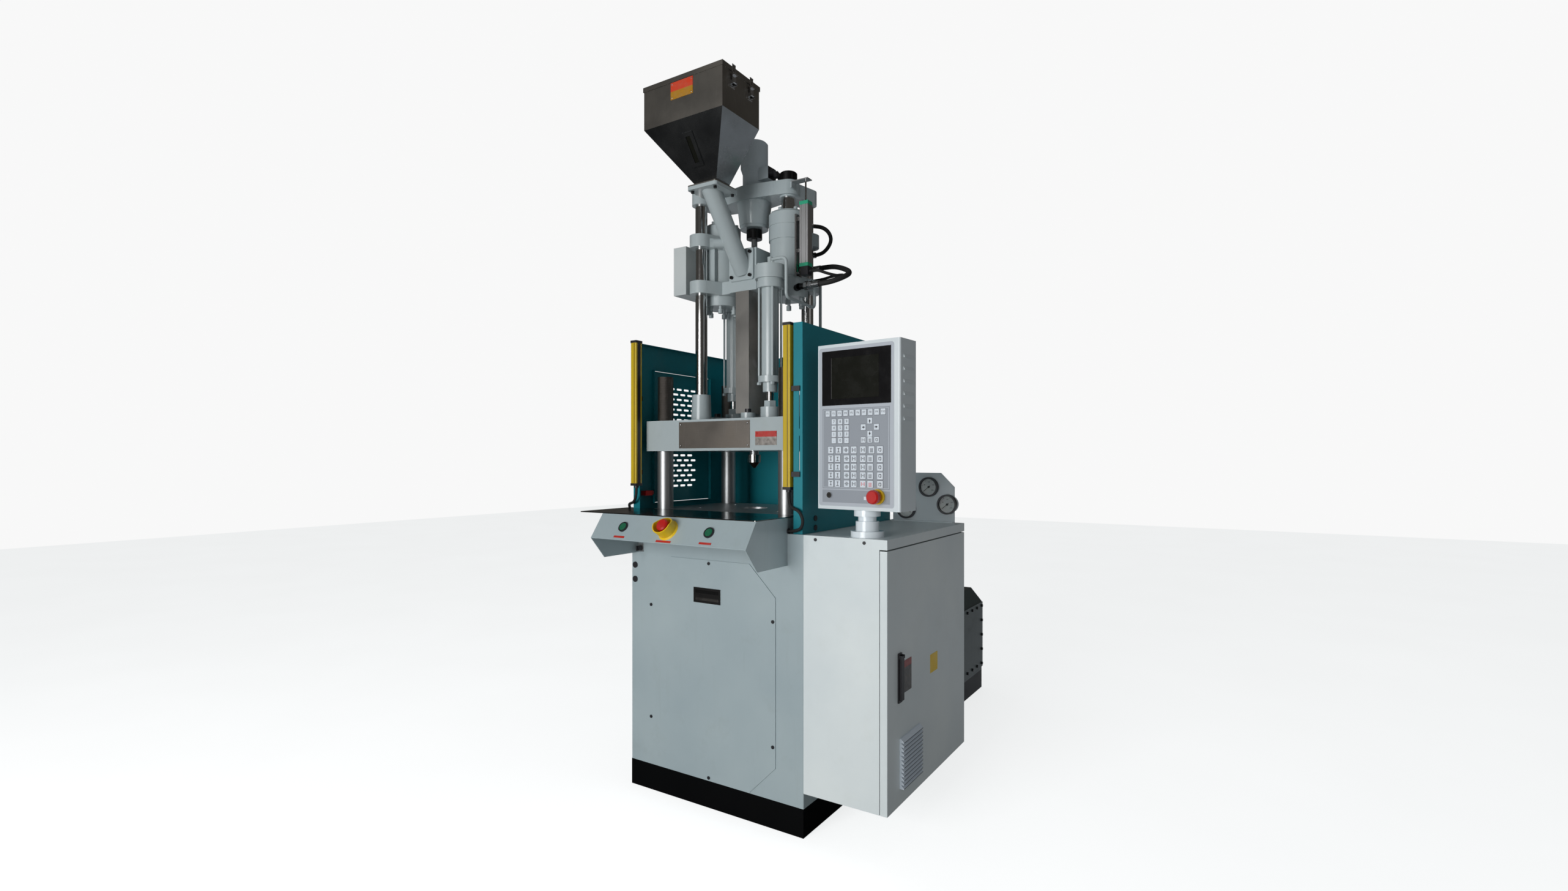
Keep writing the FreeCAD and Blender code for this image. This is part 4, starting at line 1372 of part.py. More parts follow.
def main():
    build_plinth()
    build_base()
    build_front_cover()
    build_tank()
    build_table()
    build_clamp_cylinder()
    build_crosshead()
    build_upper_platen()
    build_lift_cylinders()
    build_carriage()
    build_injection_cylinders()
    build_barrel()
    build_screw()
    build_feed()
    build_hopper()
    build_latches()
    build_terminal_box()
    build_scale()
    build_pipes()
    build_injection_plate()
    build_guards()
    build_curtains()
    build_console()
    build_front_fittings()
    build_cabinet()
    build_panel()
    build_gauges()
    os.makedirs("parts", exist_ok=True)
    for name, solids in NODES.items():
        for solid in solids:
            if not solid.isValid() or not solid.isClosed():
                print("faulty solid in", name)
        Part.makeCompound(solids).exportStep("parts/%s.step" % name)
    print("nodes", len(NODES))


main()
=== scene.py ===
"""Studio scene of a vertical injection moulding machine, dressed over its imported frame.

Lengths are in metres in the machine's own frame: the origin is on the floor under
the injection axis, +X points to the operator's right, +Y to the rear and +Z up.
The boxes and bands of face tests, the layout of the keys and the cords' routes are in
millimetres, and angles are in degrees where they aren't turned into radians at once.
"""
from __future__ import annotations

import logging
import math
from dataclasses import dataclass
from enum import Enum
from typing import Callable, Sequence

import bpy
from mathutils import Matrix, Vector

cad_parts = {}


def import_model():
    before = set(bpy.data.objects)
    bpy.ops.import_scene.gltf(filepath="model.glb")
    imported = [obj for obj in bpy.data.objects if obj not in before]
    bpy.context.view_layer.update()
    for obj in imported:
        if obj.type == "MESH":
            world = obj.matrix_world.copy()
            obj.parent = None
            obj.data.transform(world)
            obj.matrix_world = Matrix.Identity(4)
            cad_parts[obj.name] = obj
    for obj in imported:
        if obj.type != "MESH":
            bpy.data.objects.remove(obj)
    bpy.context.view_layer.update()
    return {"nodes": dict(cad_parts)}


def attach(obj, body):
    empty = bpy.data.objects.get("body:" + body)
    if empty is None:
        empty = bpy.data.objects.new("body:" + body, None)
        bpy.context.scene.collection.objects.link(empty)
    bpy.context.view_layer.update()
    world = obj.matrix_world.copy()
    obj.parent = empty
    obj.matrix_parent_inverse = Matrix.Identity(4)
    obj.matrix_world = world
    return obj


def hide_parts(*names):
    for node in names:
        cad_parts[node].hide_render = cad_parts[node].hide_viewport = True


LOG = logging.getLogger("moulding_machine")
MM = 1000.0  # millimetres in a metre
Pair = tuple[float, float]
Point = tuple[float, float, float]
Colour = tuple[float, float, float]
Rect = tuple[float, float, float, float]
Object = bpy.types.Object
Socket = bpy.types.NodeSocket
FaceTest = Callable[[Vector, Vector], bool]
Feeds = dict[str, object]  # input name to the value or the socket that goes into it


# ---------------- shader nodes
@dataclass
class Net:
    """A node tree, with short ways to add nodes. An input is a value or a socket."""

    tree: bpy.types.NodeTree

    def put(self, kind: str, inputs: dict | None = None, **settings: object) -> bpy.types.Node:
        """Adds a shader node.

        Args:
            kind: the node's type, without its "ShaderNode".
            inputs: what goes into its inputs, by name or index.
            settings: its properties.

        Returns:
            The new node.
        """
        node = self.tree.nodes.new("ShaderNode" + kind)
        for name, value in settings.items():
            setattr(node, name, value)
        self.fill(node, inputs or {})
        return node

    def fill(self, node: bpy.types.Node, inputs: dict) -> None:
        """Sets or links the inputs of a node.

        Args:
            node: the node.
            inputs: input name or index to a number, a vector, an opaque colour or a socket.
        """
        for name, value in inputs.items():
            socket = node.inputs[name]
            if isinstance(value, Socket):
                self.tree.links.new(value, socket)
            else:
                socket.default_value = (*value, 1.0) if socket.type == "RGBA" else value

    def calc(self, operation: str, a: object, b: object, clamp: bool = False) -> Socket:
        """Returns the result of a Math node, kept between 0 and 1 if clamped."""
        return self.put("Math", {0: a, 1: b}, operation=operation, use_clamp=clamp).outputs[0]

    def times(self, a: object, b: object) -> Socket:
        """Returns the product of two inputs."""
        return self.calc("MULTIPLY", a, b)

    def plus(self, a: object, b: object, clamp: bool = False) -> Socket:
        """Returns the sum of two inputs, kept between 0 and 1 if clamped."""
        return self.calc("ADD", a, b, clamp)

    def mix(self, mask: object, a: object, b: object, mode: str = "MIX") -> Socket:
        """Returns two colours blended by a mask."""
        return self.put("Mix", {0: mask, 6: a, 7: b}, data_type="RGBA", blend_type=mode).outputs[2]

    def span(self, value: object, low: float, high: float, to_low: float = 0.0,
             to_high: float = 1.0) -> Socket:
        """Returns a value mapped from low and high to to_low and to_high, clamped."""
        ends = {1: low, 2: high, 3: to_low, 4: to_high}
        return self.put("MapRange", {0: value, **ends}).outputs[0]

    def noise(self, vector: object, scale: float, detail: float = 2.0,
              rough: float = 0.5) -> Socket:
        """Returns noise of a scale per metre, with octaves and their strength."""
        look = {"Scale": scale, "Detail": detail, "Roughness": rough}
        return self.put("TexNoise", {"Vector": vector, **look}).outputs[0]

    def place(self) -> Socket:
        """Returns the coordinates in the object's own axes."""
        return self.put("TexCoord").outputs["Object"]

    def axis(self, vector: object, index: int) -> Socket:
        """Returns one component of a vector."""
        return self.put("SeparateXYZ", {0: vector}).outputs[index]

    def stretch(self, vector: object, scale: Point, turn: Point = (0.0, 0.0, 0.0)) -> Socket:
        """Returns coordinates that are turned and scaled."""
        return self.put("Mapping", {"Vector": vector, "Rotation": turn, "Scale": scale}).outputs[0]

    def bump(self, height: object, relief: float) -> Socket:
        """Returns the normal of a height that is so many metres deep."""
        return self.put("Bump", {"Strength": 1.0, "Distance": relief, "Height": height}).outputs[0]


# ---------------- shared effects
class Effect:
    """A shader node group that finishes share, built on first use."""

    name: str
    inputs: dict[str, float | Point | Rect]
    outputs: tuple[str, ...] = ("Color", "Roughness", "Height")

    @classmethod
    def tree(cls) -> bpy.types.NodeTree:
        """Returns the node group."""
        found = bpy.data.node_groups.get(cls.name)
        if found:
            return found
        tree = bpy.data.node_groups.new(cls.name, "ShaderNodeTree")
        for label, default in cls.inputs.items():
            sides = 1 if isinstance(default, float) else len(default)
            kind = "NodeSocket" + {1: "Float", 3: "Vector", 4: "Color"}[sides]
            made = tree.interface.new_socket(label, in_out="INPUT", socket_type=kind)
            made.default_value = default
        for label in cls.outputs:
            kind = "NodeSocketColor" if label == "Color" else "NodeSocketFloat"
            tree.interface.new_socket(label, in_out="OUTPUT", socket_type=kind)
        net, given = Net(tree), tree.nodes.new("NodeGroupInput").outputs
        net.fill(tree.nodes.new("NodeGroupOutput"), cls.wire(net, given))
        return tree

    @staticmethod
    def wire(net: Net, given: Feeds) -> Feeds:
        """Wires the group.

        Args:
            net: the group's net.
            given: its inputs.

        Returns:
            What feeds each of its outputs.
        """
        raise NotImplementedError


class PaintFilm(Effect):
    """Sprayed paint: orange peel, uneven tone, cast skin below it and handling marks."""

    name = "paint_film"
    inputs = {"Paint": (0.5, 0.5, 0.5, 1.0), "Gloss Roughness": 0.35, "Peel": 0.3,
              "Cast Skin": 0.0, "Marks": 0.3}

    @staticmethod
    def wire(net: Net, given: Feeds) -> Feeds:
        """Wires soil and runs over the tone of the paint, and both heights.

        Args:
            net: the group's net.
            given: its inputs.

        Returns:
            What feeds each of its outputs.
        """
        where = net.place()
        tone = net.span(net.noise(where, 3.1, 4.0), 0.3, 0.7)
        soil = net.span(net.noise(where, 11.0, 7.0, 0.62), 0.56, 0.80)
        drips = net.stretch(where, (38.0, 38.0, 4.0))
        runs = net.span(net.noise(drips, 1.0, 4.0, 0.6), 0.58, 0.82)
        dirt = net.times(net.calc("MAXIMUM", soil, net.times(runs, 0.6)), given["Marks"])
        shade = net.mix(1.0, given["Paint"], (0.88, 0.90, 0.92), "MULTIPLY")
        toned = net.mix(tone, shade, given["Paint"])
        dull = net.mix(1.0, toned, (0.70, 0.67, 0.60), "MULTIPLY")
        rough = net.plus(given["Gloss Roughness"], net.times(dirt, 0.25))
        peel = net.times(net.noise(where, 420.0, 1.0), given["Peel"])
        cast = net.times(net.noise(where, 75.0, 3.0), given["Cast Skin"])
        return {"Color": net.mix(dirt, toned, dull),
                "Roughness": net.plus(rough, net.times(tone, 0.05), clamp=True),
                "Height": net.plus(peel, cast)}


class MetalGrain(Effect):
    """Brushed or ground metal: fine lines one way, cloudy stains and a few scratches."""

    name = "metal_grain"
    inputs = {"Metal": (0.5, 0.5, 0.5, 1.0), "Polish Roughness": 0.25,
              "Lines": (900.0, 900.0, 8.0), "Stain": 0.4, "Scratches": 0.3}

    @staticmethod
    def wire(net: Net, given: Feeds) -> Feeds:
        """Wires stains below the lines and scratches over them.

        Args:
            net: the group's net.
            given: its inputs.

        Returns:
            What feeds each of its outputs.
        """
        where = net.place()
        drawn = net.put("VectorMath", {0: where, 1: given["Lines"]}, operation="MULTIPLY")
        lines = net.noise(drawn.outputs[0], 1.0, 3.0, 0.6)
        cloud = net.span(net.noise(where, 8.0, 6.0, 0.6), 0.35, 0.75)
        stain = net.times(cloud, given["Stain"])
        turned = net.stretch(where, (700.0, 18.0, 18.0), (0.5, 0.7, 0.35))
        marks = net.times(net.span(net.noise(turned, 1.0, 1.0), 0.70, 0.76), given["Scratches"])
        dark = net.mix(1.0, given["Metal"], (0.58, 0.55, 0.50), "MULTIPLY")
        base = net.mix(stain, given["Metal"], dark)
        lined = net.mix(net.times(lines, 0.35), base, (0.06, 0.06, 0.06))
        rough = net.plus(given["Polish Roughness"], net.times(stain, 0.22))
        return {"Color": net.mix(marks, lined, (0.75, 0.75, 0.75)),
                "Roughness": net.plus(rough, net.times(lines, 0.10), clamp=True),
                "Height": net.calc("SUBTRACT", lines, net.times(marks, 0.5))}


class MouldedSkin(Effect):
    """Moulded plastic or rubber: spark texture, handling shine and faint dust."""

    name = "moulded_skin"
    inputs = {"Resin": (0.1, 0.1, 0.1, 1.0), "Skin Roughness": 0.4, "Spark": 0.4, "Dust": 0.15}

    @staticmethod
    def wire(net: Net, given: Feeds) -> Feeds:
        """Wires dust on what looks up, and the texture's height.

        Args:
            net: the group's net.
            given: its inputs.

        Returns:
            What feeds each of its outputs.
        """
        where = net.place()
        worn = net.span(net.noise(where, 24.0, 5.0, 0.6), 0.4, 0.7)
        up = net.axis(net.put("NewGeometry").outputs["Normal"], 2)
        dust = net.times(net.times(net.span(up, 0.2, 1.0), worn), given["Dust"])
        rough = net.plus(given["Skin Roughness"], net.times(worn, 0.12))
        return {"Color": net.mix(dust, given["Resin"], (0.45, 0.44, 0.42)),
                "Roughness": net.plus(rough, net.times(dust, 0.5), clamp=True),
                "Height": net.times(net.noise(where, 1600.0, 2.0), given["Spark"])}


class CutThread(Effect):
    """Fine thread cut round an upright bar: a height that repeats with the pitch."""

    name = "cut_thread"
    inputs = {"Pitch": 0.004}
    outputs = ("Height",)

    @staticmethod
    def wire(net: Net, given: Feeds) -> Feeds:
        """Wires the height as it goes up and down the bar."""
        turns = net.calc("DIVIDE", net.axis(net.place(), 2), given["Pitch"])
        return {"Height": net.times(net.calc("PINGPONG", turns, 0.5), 2.0)}


# ---------------- finishes
@dataclass(frozen=True)
class Finish:
    """What every finish has: a name and a colour."""

    name: str
    colour: Colour

    def material(self) -> bpy.types.Material:
        """Returns the finish's material, built on first use."""
        found = bpy.data.materials.get(self.name)
        if found:
            return found
        made = bpy.data.materials.new(self.name)
        made.use_nodes = True
        made.diffuse_color = (*self.colour, 1.0)
        net = Net(made.node_tree)
        net.tree.nodes.clear()
        shader = net.put("BsdfPrincipled", self.wire(net))
        net.put("OutputMaterial", {"Surface": shader.outputs[0]})
        return made

    def wire(self, net: Net) -> Feeds:
        """Adds the nodes of the finish.

        Args:
            net: the material's net.

        Returns:
            What goes into the inputs of the shader.
        """
        raise NotImplementedError

    @staticmethod
    def skin(net: Net, effect: type[Effect], values: Feeds, relief: float,
             height: Socket | None = None) -> Feeds:
        """Adds an effect's group.

        Args:
            net: the material's net.
            effect: the effect.
            values: what goes into it.
            relief: depth of its bumps, in metres.
            height: height that shapes them in place of the effect's own.

        Returns:
            What it feeds into the shader.
        """
        made = net.put("Group", values, node_tree=effect.tree()).outputs
        return {"Base Color": made["Color"], "Roughness": made["Roughness"],
                "Normal": net.bump(height or made["Height"], relief)}


@dataclass(frozen=True)
class Paint(Finish):
    """Sprayed enamel on sheet or castings."""

    roughness: float = 0.34
    peel: float = 0.5
    cast: float = 0.0
    marks: float = 0.25
    coat: float = 0.25
    coat_roughness: float = 0.12
    specular: float = 0.5
    relief: float = 0.00012

    def wire(self, net: Net) -> Feeds:
        """Adds the paint film under its clear coat.

        Args:
            net: the material's net.

        Returns:
            What goes into the inputs of the shader.
        """
        film = {"Paint": self.colour, "Gloss Roughness": self.roughness, "Peel": self.peel,
                "Cast Skin": self.cast, "Marks": self.marks}
        return {"Coat Weight": self.coat, "Coat Roughness": self.coat_roughness,
                "Specular IOR Level": self.specular,
                **self.skin(net, PaintFilm, film, self.relief)}


@dataclass(frozen=True)
class Metal(Finish):
    """Bare, brushed, ground or plated metal, with a thread where its pitch is given."""

    roughness: float = 0.25
    lines: Point = (900.0, 900.0, 8.0)
    stain: float = 0.3
    scratches: float = 0.15
    relief: float = 0.00001
    thread: float = 0.0
    thread_relief: float = 0.0006

    def wire(self, net: Net) -> Feeds:
        """Adds the metal grain, shaped by the thread where there is one.

        Args:
            net: the material's net.

        Returns:
            What goes into the inputs of the shader.
        """
        grain = {"Metal": self.colour, "Polish Roughness": self.roughness, "Lines": self.lines,
                 "Stain": self.stain, "Scratches": self.scratches}
        relief, height = self.relief, None
        if self.thread:
            cut = net.put("Group", {"Pitch": self.thread}, node_tree=CutThread.tree())
            relief, height = self.thread_relief, cut.outputs["Height"]
        return {"Metallic": 1.0, **self.skin(net, MetalGrain, grain, relief, height)}


@dataclass(frozen=True)
class Moulding(Finish):
    """Moulded plastic, rubber or film."""

    roughness: float = 0.4
    spark: float = 0.5
    dust: float = 0.12
    coat: float = 0.0
    coat_roughness: float = 0.08
    specular: float = 0.5
    relief: float = 0.00004

    def wire(self, net: Net) -> Feeds:
        """Adds the moulded skin.

        Args:
            net: the material's net.

        Returns:
            What goes into the inputs of the shader.
        """
        skin = {"Resin": self.colour, "Skin Roughness": self.roughness, "Spark": self.spark,
                "Dust": self.dust}
        return {"Coat Weight": self.coat, "Coat Roughness": self.coat_roughness,
                "Specular IOR Level": self.specular,
                **self.skin(net, MouldedSkin, skin, self.relief)}


@dataclass(frozen=True)
class Clear(Finish):
    """Clear pane with faint wipe marks."""

    ior: float = 1.02

    def wire(self, net: Net) -> Feeds:
        """Adds wipe marks.

        Args:
            net: the material's net.

        Returns:
            What goes into the inputs of the shader.
        """
        wipe = net.span(net.noise(net.place(), 30.0, 4.0), 0.4, 0.8, 0.03, 0.12)
        return {"Base Color": self.colour, "Roughness": wipe, "Transmission Weight": 1.0,
                "IOR": self.ior}


@dataclass(frozen=True)
class TwoFields(Finish):
    """Printed plate with one plain field above another, split at a height."""

    lower: Colour = (0.5, 0.5, 0.5)
    split_z: float = 1.0
    metallic_lower: float = 0.0
    edge: float = 0.0003
    relief: float = 0.00003

    def wire(self, net: Net) -> Feeds:
        """Adds the two fields, their fading and the varnish.

        Args:
            net: the material's net.

        Returns:
            What goes into the inputs of the shader.
        """
        where = net.place()
        above = net.span(net.axis(where, 2), self.split_z - self.edge, self.split_z + self.edge)
        fade = net.span(net.noise(where, 60.0, 5.0), 0.3, 0.8, 0.0, 0.25)
        fields = net.mix(above, self.lower, self.colour)
        return {"Base Color": net.mix(fade, fields, (0.30, 0.22, 0.16)),
                "Metallic": net.span(above, 0.0, 1.0, self.metallic_lower, 0.0),
                "Roughness": net.span(net.noise(where, 90.0, 3.0), 0.3, 0.7, 0.28, 0.42),
                "Normal": net.bump(net.noise(where, 700.0, 2.0), self.relief)}


class Coat(Enum):
    """Every finish on the machine."""

    BODY = Paint("body_enamel", (0.4, 0.48, 0.5), 0.36)
    UNIT = Paint("casting_enamel", (0.43, 0.49, 0.5), 0.27, peel=0.7, cast=2.2, marks=0.22,
                 coat=0.4)
    TERMINAL = Paint("terminal_box_enamel", (0.56, 0.6, 0.6), 0.38)
    CABINET = Paint("cabinet_powder_coat", (0.76, 0.82, 0.82), 0.4, peel=0.8, marks=0.12, coat=0.1)
    PANEL = Paint("panel_case_enamel", (0.74, 0.8, 0.82), 0.36, marks=0.1)
    POST = Paint("post_enamel", (0.86, 0.92, 0.95), 0.24, marks=0.05, coat=0.5)
    TEAL = Paint("guard_enamel", (0.008, 0.235, 0.285), 0.34, peel=0.6, marks=0.15, coat=0.12,
                 specular=0.35)
    PLINTH = Paint("plinth_enamel", (0.004, 0.0042, 0.0045), 0.3, marks=0.4, coat=0.0,
                   specular=0.08)
    # Dark grey-green: partly the tank's own paint, partly painted shade for the shadow that falls
    # on the tank's side behind the cabinet.
    TANK = Paint("tank_enamel_painted_shade", (0.065, 0.088, 0.086), 0.34, marks=0.3, coat=0.05, specular=0.3)
    # Paler than the casting enamel that the motor shares: painted light that offsets the hopper's
    # shadow on the screw motor; the pump set takes the same finish.
    MOTOR = Paint("motor_enamel_painted_light", (0.56, 0.63, 0.66), 0.36, cast=2.5)
    CHROME = Metal("hard_chrome", (0.82, 0.82, 0.82), 0.06, lines=(20.0, 20.0, 1500.0), stain=0.12,
                   scratches=0.05)
    BRIGHT = Metal("plated_steel", (0.72, 0.72, 0.73), 0.16, stain=0.2)
    GROUND = Metal("ground_steel", (0.46, 0.46, 0.46), 0.2, lines=(12.0, 900.0, 900.0), stain=0.5)
    WET_SHEET = Metal("polished_table_sheet", (0.33, 0.34, 0.33), 0.09, lines=(14.0, 9.0, 9.0),
                      stain=0.35, scratches=0.1, relief=0.0005)
    THREADED = Metal("threaded_bar", (0.2, 0.18, 0.165), 0.34, stain=0.6, thread=0.003)
    MACHINED = Metal("machined_steel", (0.36, 0.35, 0.34), 0.3, stain=0.4)
    STAINLESS = Metal("brushed_hopper_steel", (0.52, 0.5, 0.465), 0.27,
                      lines=(1100.0, 1100.0, 12.0), stain=0.6, scratches=0.12, relief=0.00002)
    FUNNEL = Metal("brushed_funnel_steel", (0.34, 0.36, 0.375), 0.17, lines=(1100.0, 1100.0, 12.0),
                   stain=0.5, scratches=0.2, relief=0.00002)
    SHIELD = Metal("barrel_cover_steel", (0.56, 0.55, 0.53), 0.26, lines=(1000.0, 1000.0, 10.0),
                   stain=0.6, scratches=0.25)
    NAMEPLATE = Metal("bare_plate_steel", (0.34, 0.31, 0.28), 0.28, lines=(9.0, 1100.0, 1100.0),
                      stain=0.7)
    TINTED = Metal("heat_tinted_tip", (0.085, 0.06, 0.045), 0.3, stain=0.5)
    ALUMINIUM = Metal("brushed_aluminium", (0.78, 0.79, 0.8), 0.3, lines=(1200.0, 1200.0, 15.0),
                      stain=0.12)
    BLACKENED = Metal("blackened_steel", (0.035, 0.035, 0.037), 0.3, stain=0.3)
    BLACK = Moulding("black_plastic", (0.012, 0.012, 0.013), 0.38)
    GLOSS_BLACK = Moulding("gloss_black", (0.006, 0.006, 0.007), 0.1, spark=0.03, dust=0.03,
                           coat=0.6)
    # Near-black pane: the display's own dark glass, and painted shade in the hopper's sight slot.
    DISPLAY = Moulding("display_pane_and_slot_shade", (0.009, 0.0095, 0.007), 0.22, spark=0.05, dust=0.02,
                       specular=0.2)
    RUBBER = Moulding("hose_rubber", (0.01, 0.01, 0.011), 0.33, spark=0.8, dust=0.2)
    GREEN_LENS = Moulding("green_lens", (0.004, 0.13, 0.06), 0.2, spark=0.1, coat=0.7)
    GREEN_CAP = Moulding("green_end_cap", (0.02, 0.36, 0.2), 0.4)
    RED = Moulding("stop_head_red", (0.52, 0.012, 0.01), 0.3, spark=0.3, coat=0.3)
    RED_FILM = Moulding("red_tag_film", (0.5, 0.03, 0.02), 0.4)
    YELLOW = Moulding("shroud_yellow", (0.85, 0.56, 0.01), 0.36)
    BAR_YELLOW = Paint("light_bar_yellow", (0.6, 0.41, 0.01), 0.3, marks=0.05)
    GRILLE = Moulding("grille_plastic", (0.72, 0.8, 0.88), 0.42)
    # Dark line on the front of each louvre: painted shade of the gap beneath each slat.
    GRILLE_LIP = Moulding("grille_painted_shade", (0.1, 0.115, 0.13), 0.5)
    MEMBRANE = Moulding("keypad_film", (0.3, 0.33, 0.37), 0.42, spark=0.9, dust=0.05)
    SILVER = Moulding("silver_film", (0.46, 0.5, 0.55), 0.34, spark=0.9, dust=0.05)
    KEY = Moulding("key_film", (0.68, 0.74, 0.8), 0.38, spark=0.3, dust=0.05)
    PRINT = Moulding("black_print", (0.02, 0.02, 0.028), 0.5)
    RED_PRINT = Moulding("red_print", (0.6, 0.05, 0.06), 0.5)
    DIAL = Moulding("dial_white", (0.8, 0.82, 0.82), 0.45, spark=0.1)
    LENS = Clear("gauge_pane", (0.96, 0.98, 0.98))
    HOPPER_PLATE = TwoFields("hopper_plate", (0.62, 0.045, 0.012), lower=(0.42, 0.2, 0.008),
                             split_z=2.36)
    PLATEN_PLATE = TwoFields("small_platen_plate", (0.48, 0.02, 0.02), lower=(0.42, 0.4, 0.38),
                             split_z=1.2405, metallic_lower=1.0)
    DOOR_PLATE = TwoFields("door_plate", (0.3, 0.02, 0.02), lower=(0.055, 0.055, 0.055),
                           split_z=0.54)

    def material(self) -> bpy.types.Material:
        """Returns the finish's material."""
        return self.value.material()


# ---------------- faces and planes
def within(low: Point, high: Point) -> FaceTest:
    """Returns a test for faces whose centre lies in a box given in millimetres."""
    lo, hi = Vector(low) / MM, Vector(high) / MM
    return lambda c, n: all(lo[k] <= c[k] <= hi[k] for k in range(3))


def band(axis: int, low: float, high: float) -> FaceTest:
    """Returns a test for faces whose centre lies between two millimetre values along an axis."""
    return lambda c, n: low / MM <= c[axis] <= high / MM


def upward(centre: Vector, normal: Vector) -> bool:
    """Tells whether a face looks up."""
    return normal.z > 0.9


def facing(origin: Point, across: Point, up: Point) -> Matrix:
    """Returns the matrix of a plane given by its origin and two directions.

    Args:
        origin: point of the plane, in metres.
        across: direction of the plane's X.
        up: direction of the plane's Y.

    Returns:
        Matrix whose Z is the plane's outward normal.
    """
    x, y = Vector(across).normalized(), Vector(up).normalized()
    return Matrix.Translation(Vector(origin)) @ Matrix((x, y, x.cross(y))).transposed().to_4x4()


def front(x: float, y: float, z: float) -> Matrix:
    """Returns the matrix of an upright plane at a point, whose Z points to the operator."""
    return facing((x, y, z), (1, 0, 0), (0, 0, 1))


def shift(x: float, y: float, z: float) -> Matrix:
    """Returns the matrix of a move."""
    return Matrix.Translation((x, y, z))


def turn(angle: float) -> Matrix:
    """Returns the matrix of a turn about Z, in radians."""
    return Matrix.Rotation(angle, 4, "Z")


# ---------------- workbench
class Bench:
    """Modelling by operators: primitives, edit mode work and placing."""

    @staticmethod
    def clear() -> None:
        """Leaves edit mode and deselects everything."""
        if bpy.context.object and bpy.context.object.mode != "OBJECT":
            bpy.ops.object.mode_set(mode="OBJECT")
        bpy.ops.object.select_all(action="DESELECT")

    @classmethod
    def pick(cls, piece: Object) -> None:
        """Selects one piece and makes it active.

        Args:
            piece: the object.
        """
        cls.clear()
        piece.select_set(True)
        bpy.context.view_layer.objects.active = piece

    @classmethod
    def cylinder(cls, name: str, radius: float, depth: float, sides: int) -> Object:
        """Adds a cylinder that stands on the origin.

        Args:
            name: the object's name.
            radius: its radius.
            depth: its height.
            sides: number of side faces.

        Returns:
            The object.
        """
        cls.clear()
        bpy.ops.mesh.primitive_cylinder_add(vertices=sides, radius=radius, depth=depth,
                                            location=(0, 0, depth / 2))
        return cls._named(name)

    @classmethod
    def slab(cls, name: str, size: Point, place: Matrix | None = None) -> Object:
        """Adds a block that stands on the origin, or on the plane of a matrix.

        Args:
            name: the object's name.
            size: its three sides.
            place: the matrix.

        Returns:
            The object.
        """
        cls.clear()
        bpy.ops.mesh.primitive_cube_add(size=1, location=(0, 0, size[2] / 2), scale=size)
        made = cls._named(name)
        if place is not None:
            made.data.transform(place)
        return made

    @staticmethod
    def _named(name: str) -> Object:
        """Names the active object and applies its place.

        Args:
            name: its new name.

        Returns:
            The object.
        """
        made = bpy.context.object
        made.name = made.data.name = name
        bpy.ops.object.transform_apply()
        return made

    @staticmethod
    def faces(piece: Object, test: FaceTest) -> None:
        """Enters edit mode with the faces selected that a test picks.

        Args:
            piece: the object.
            test: says of a face's centre and normal whether it is picked.
        """
        bpy.context.view_layer.objects.active = piece
        bpy.ops.object.mode_set(mode="EDIT")
        bpy.ops.mesh.select_mode(type="FACE")
        bpy.ops.mesh.select_all(action="DESELECT")
        bpy.ops.object.mode_set(mode="OBJECT")
        for face in piece.data.polygons:
            face.select = test(face.center, face.normal)
        bpy.ops.object.mode_set(mode="EDIT")

    @staticmethod
    def done() -> None:
        """Leaves edit mode."""
        bpy.ops.object.mode_set(mode="OBJECT")

    @classmethod
    def soften(cls, piece: Object, width: float, segments: int = 2) -> None:
        """Bevels the edges sharper than 40 degrees and smooths those below 38.

        Args:
            piece: the object.
            width: bevel width.
            segments: faces across the bevel.
        """
        cls.pick(piece)
        bevel = piece.modifiers.new("edges", "BEVEL")
        bevel.width, bevel.segments = width, segments
        bevel.limit_method, bevel.angle_limit = "ANGLE", math.radians(40.0)
        bpy.ops.object.modifier_apply(modifier=bevel.name)
        bpy.ops.object.shade_smooth_by_angle(angle=math.radians(38))

    @classmethod
    def place(cls, piece: Object, matrix: Matrix) -> Object:
        """Moves a piece by a matrix and applies it to its mesh.

        Args:
            piece: the object.
            matrix: from the piece's own axes to the machine's.

        Returns:
            The same object.
        """
        cls.pick(piece)
        piece.matrix_world = matrix
        bpy.ops.object.transform_apply()
        return piece

    @classmethod
    def copies(cls, pattern: Object, places: Sequence[Matrix], name: str) -> Object:
        """Copies a piece to many places, joins the copies and drops the pattern.

        Args:
            pattern: the modelled piece, at the origin.
            places: one matrix for each copy.
            name: name of the joined object.

        Returns:
            The joined object.
        """
        made = []
        for matrix in places:
            twin = pattern.copy()
            twin.data = pattern.data.copy()
            twin.data.transform(matrix)
            bpy.context.scene.collection.objects.link(twin)
            made.append(twin)
        bpy.data.objects.remove(pattern)
        return cls.join(made, name)

    @classmethod
    def join(cls, parts: Sequence[Object], name: str) -> Object:
        """Joins objects into one.

        Args:
            parts: the objects, all with their places applied.
            name: name of the result.

        Returns:
            The joined object.
        """
        cls.clear()
        for part in parts:
            part.select_set(True)
        bpy.context.view_layer.objects.active = parts[0]
        if len(parts) > 1:
            bpy.ops.object.join()
        whole = bpy.context.object
        whole.name = whole.data.name = name
        return whole

    @classmethod
    def text(cls, words: str, size: float, matrix: Matrix) -> Object:
        """Makes a thin mesh of a short word, centred on its place.

        Args:
            words: the characters.
            size: their height.
            matrix: from the word's plane to the machine's axes.

        Returns:
            The mesh object.
        """
        cls.clear()
        bpy.ops.object.text_add()
        data = bpy.context.object.data
        data.body, data.size, data.extrude, data.resolution_u = words, size, 0.00005, 2
        data.align_x = data.align_y = "CENTER"
        bpy.ops.object.convert(target="MESH")
        return cls.place(bpy.context.object, matrix)


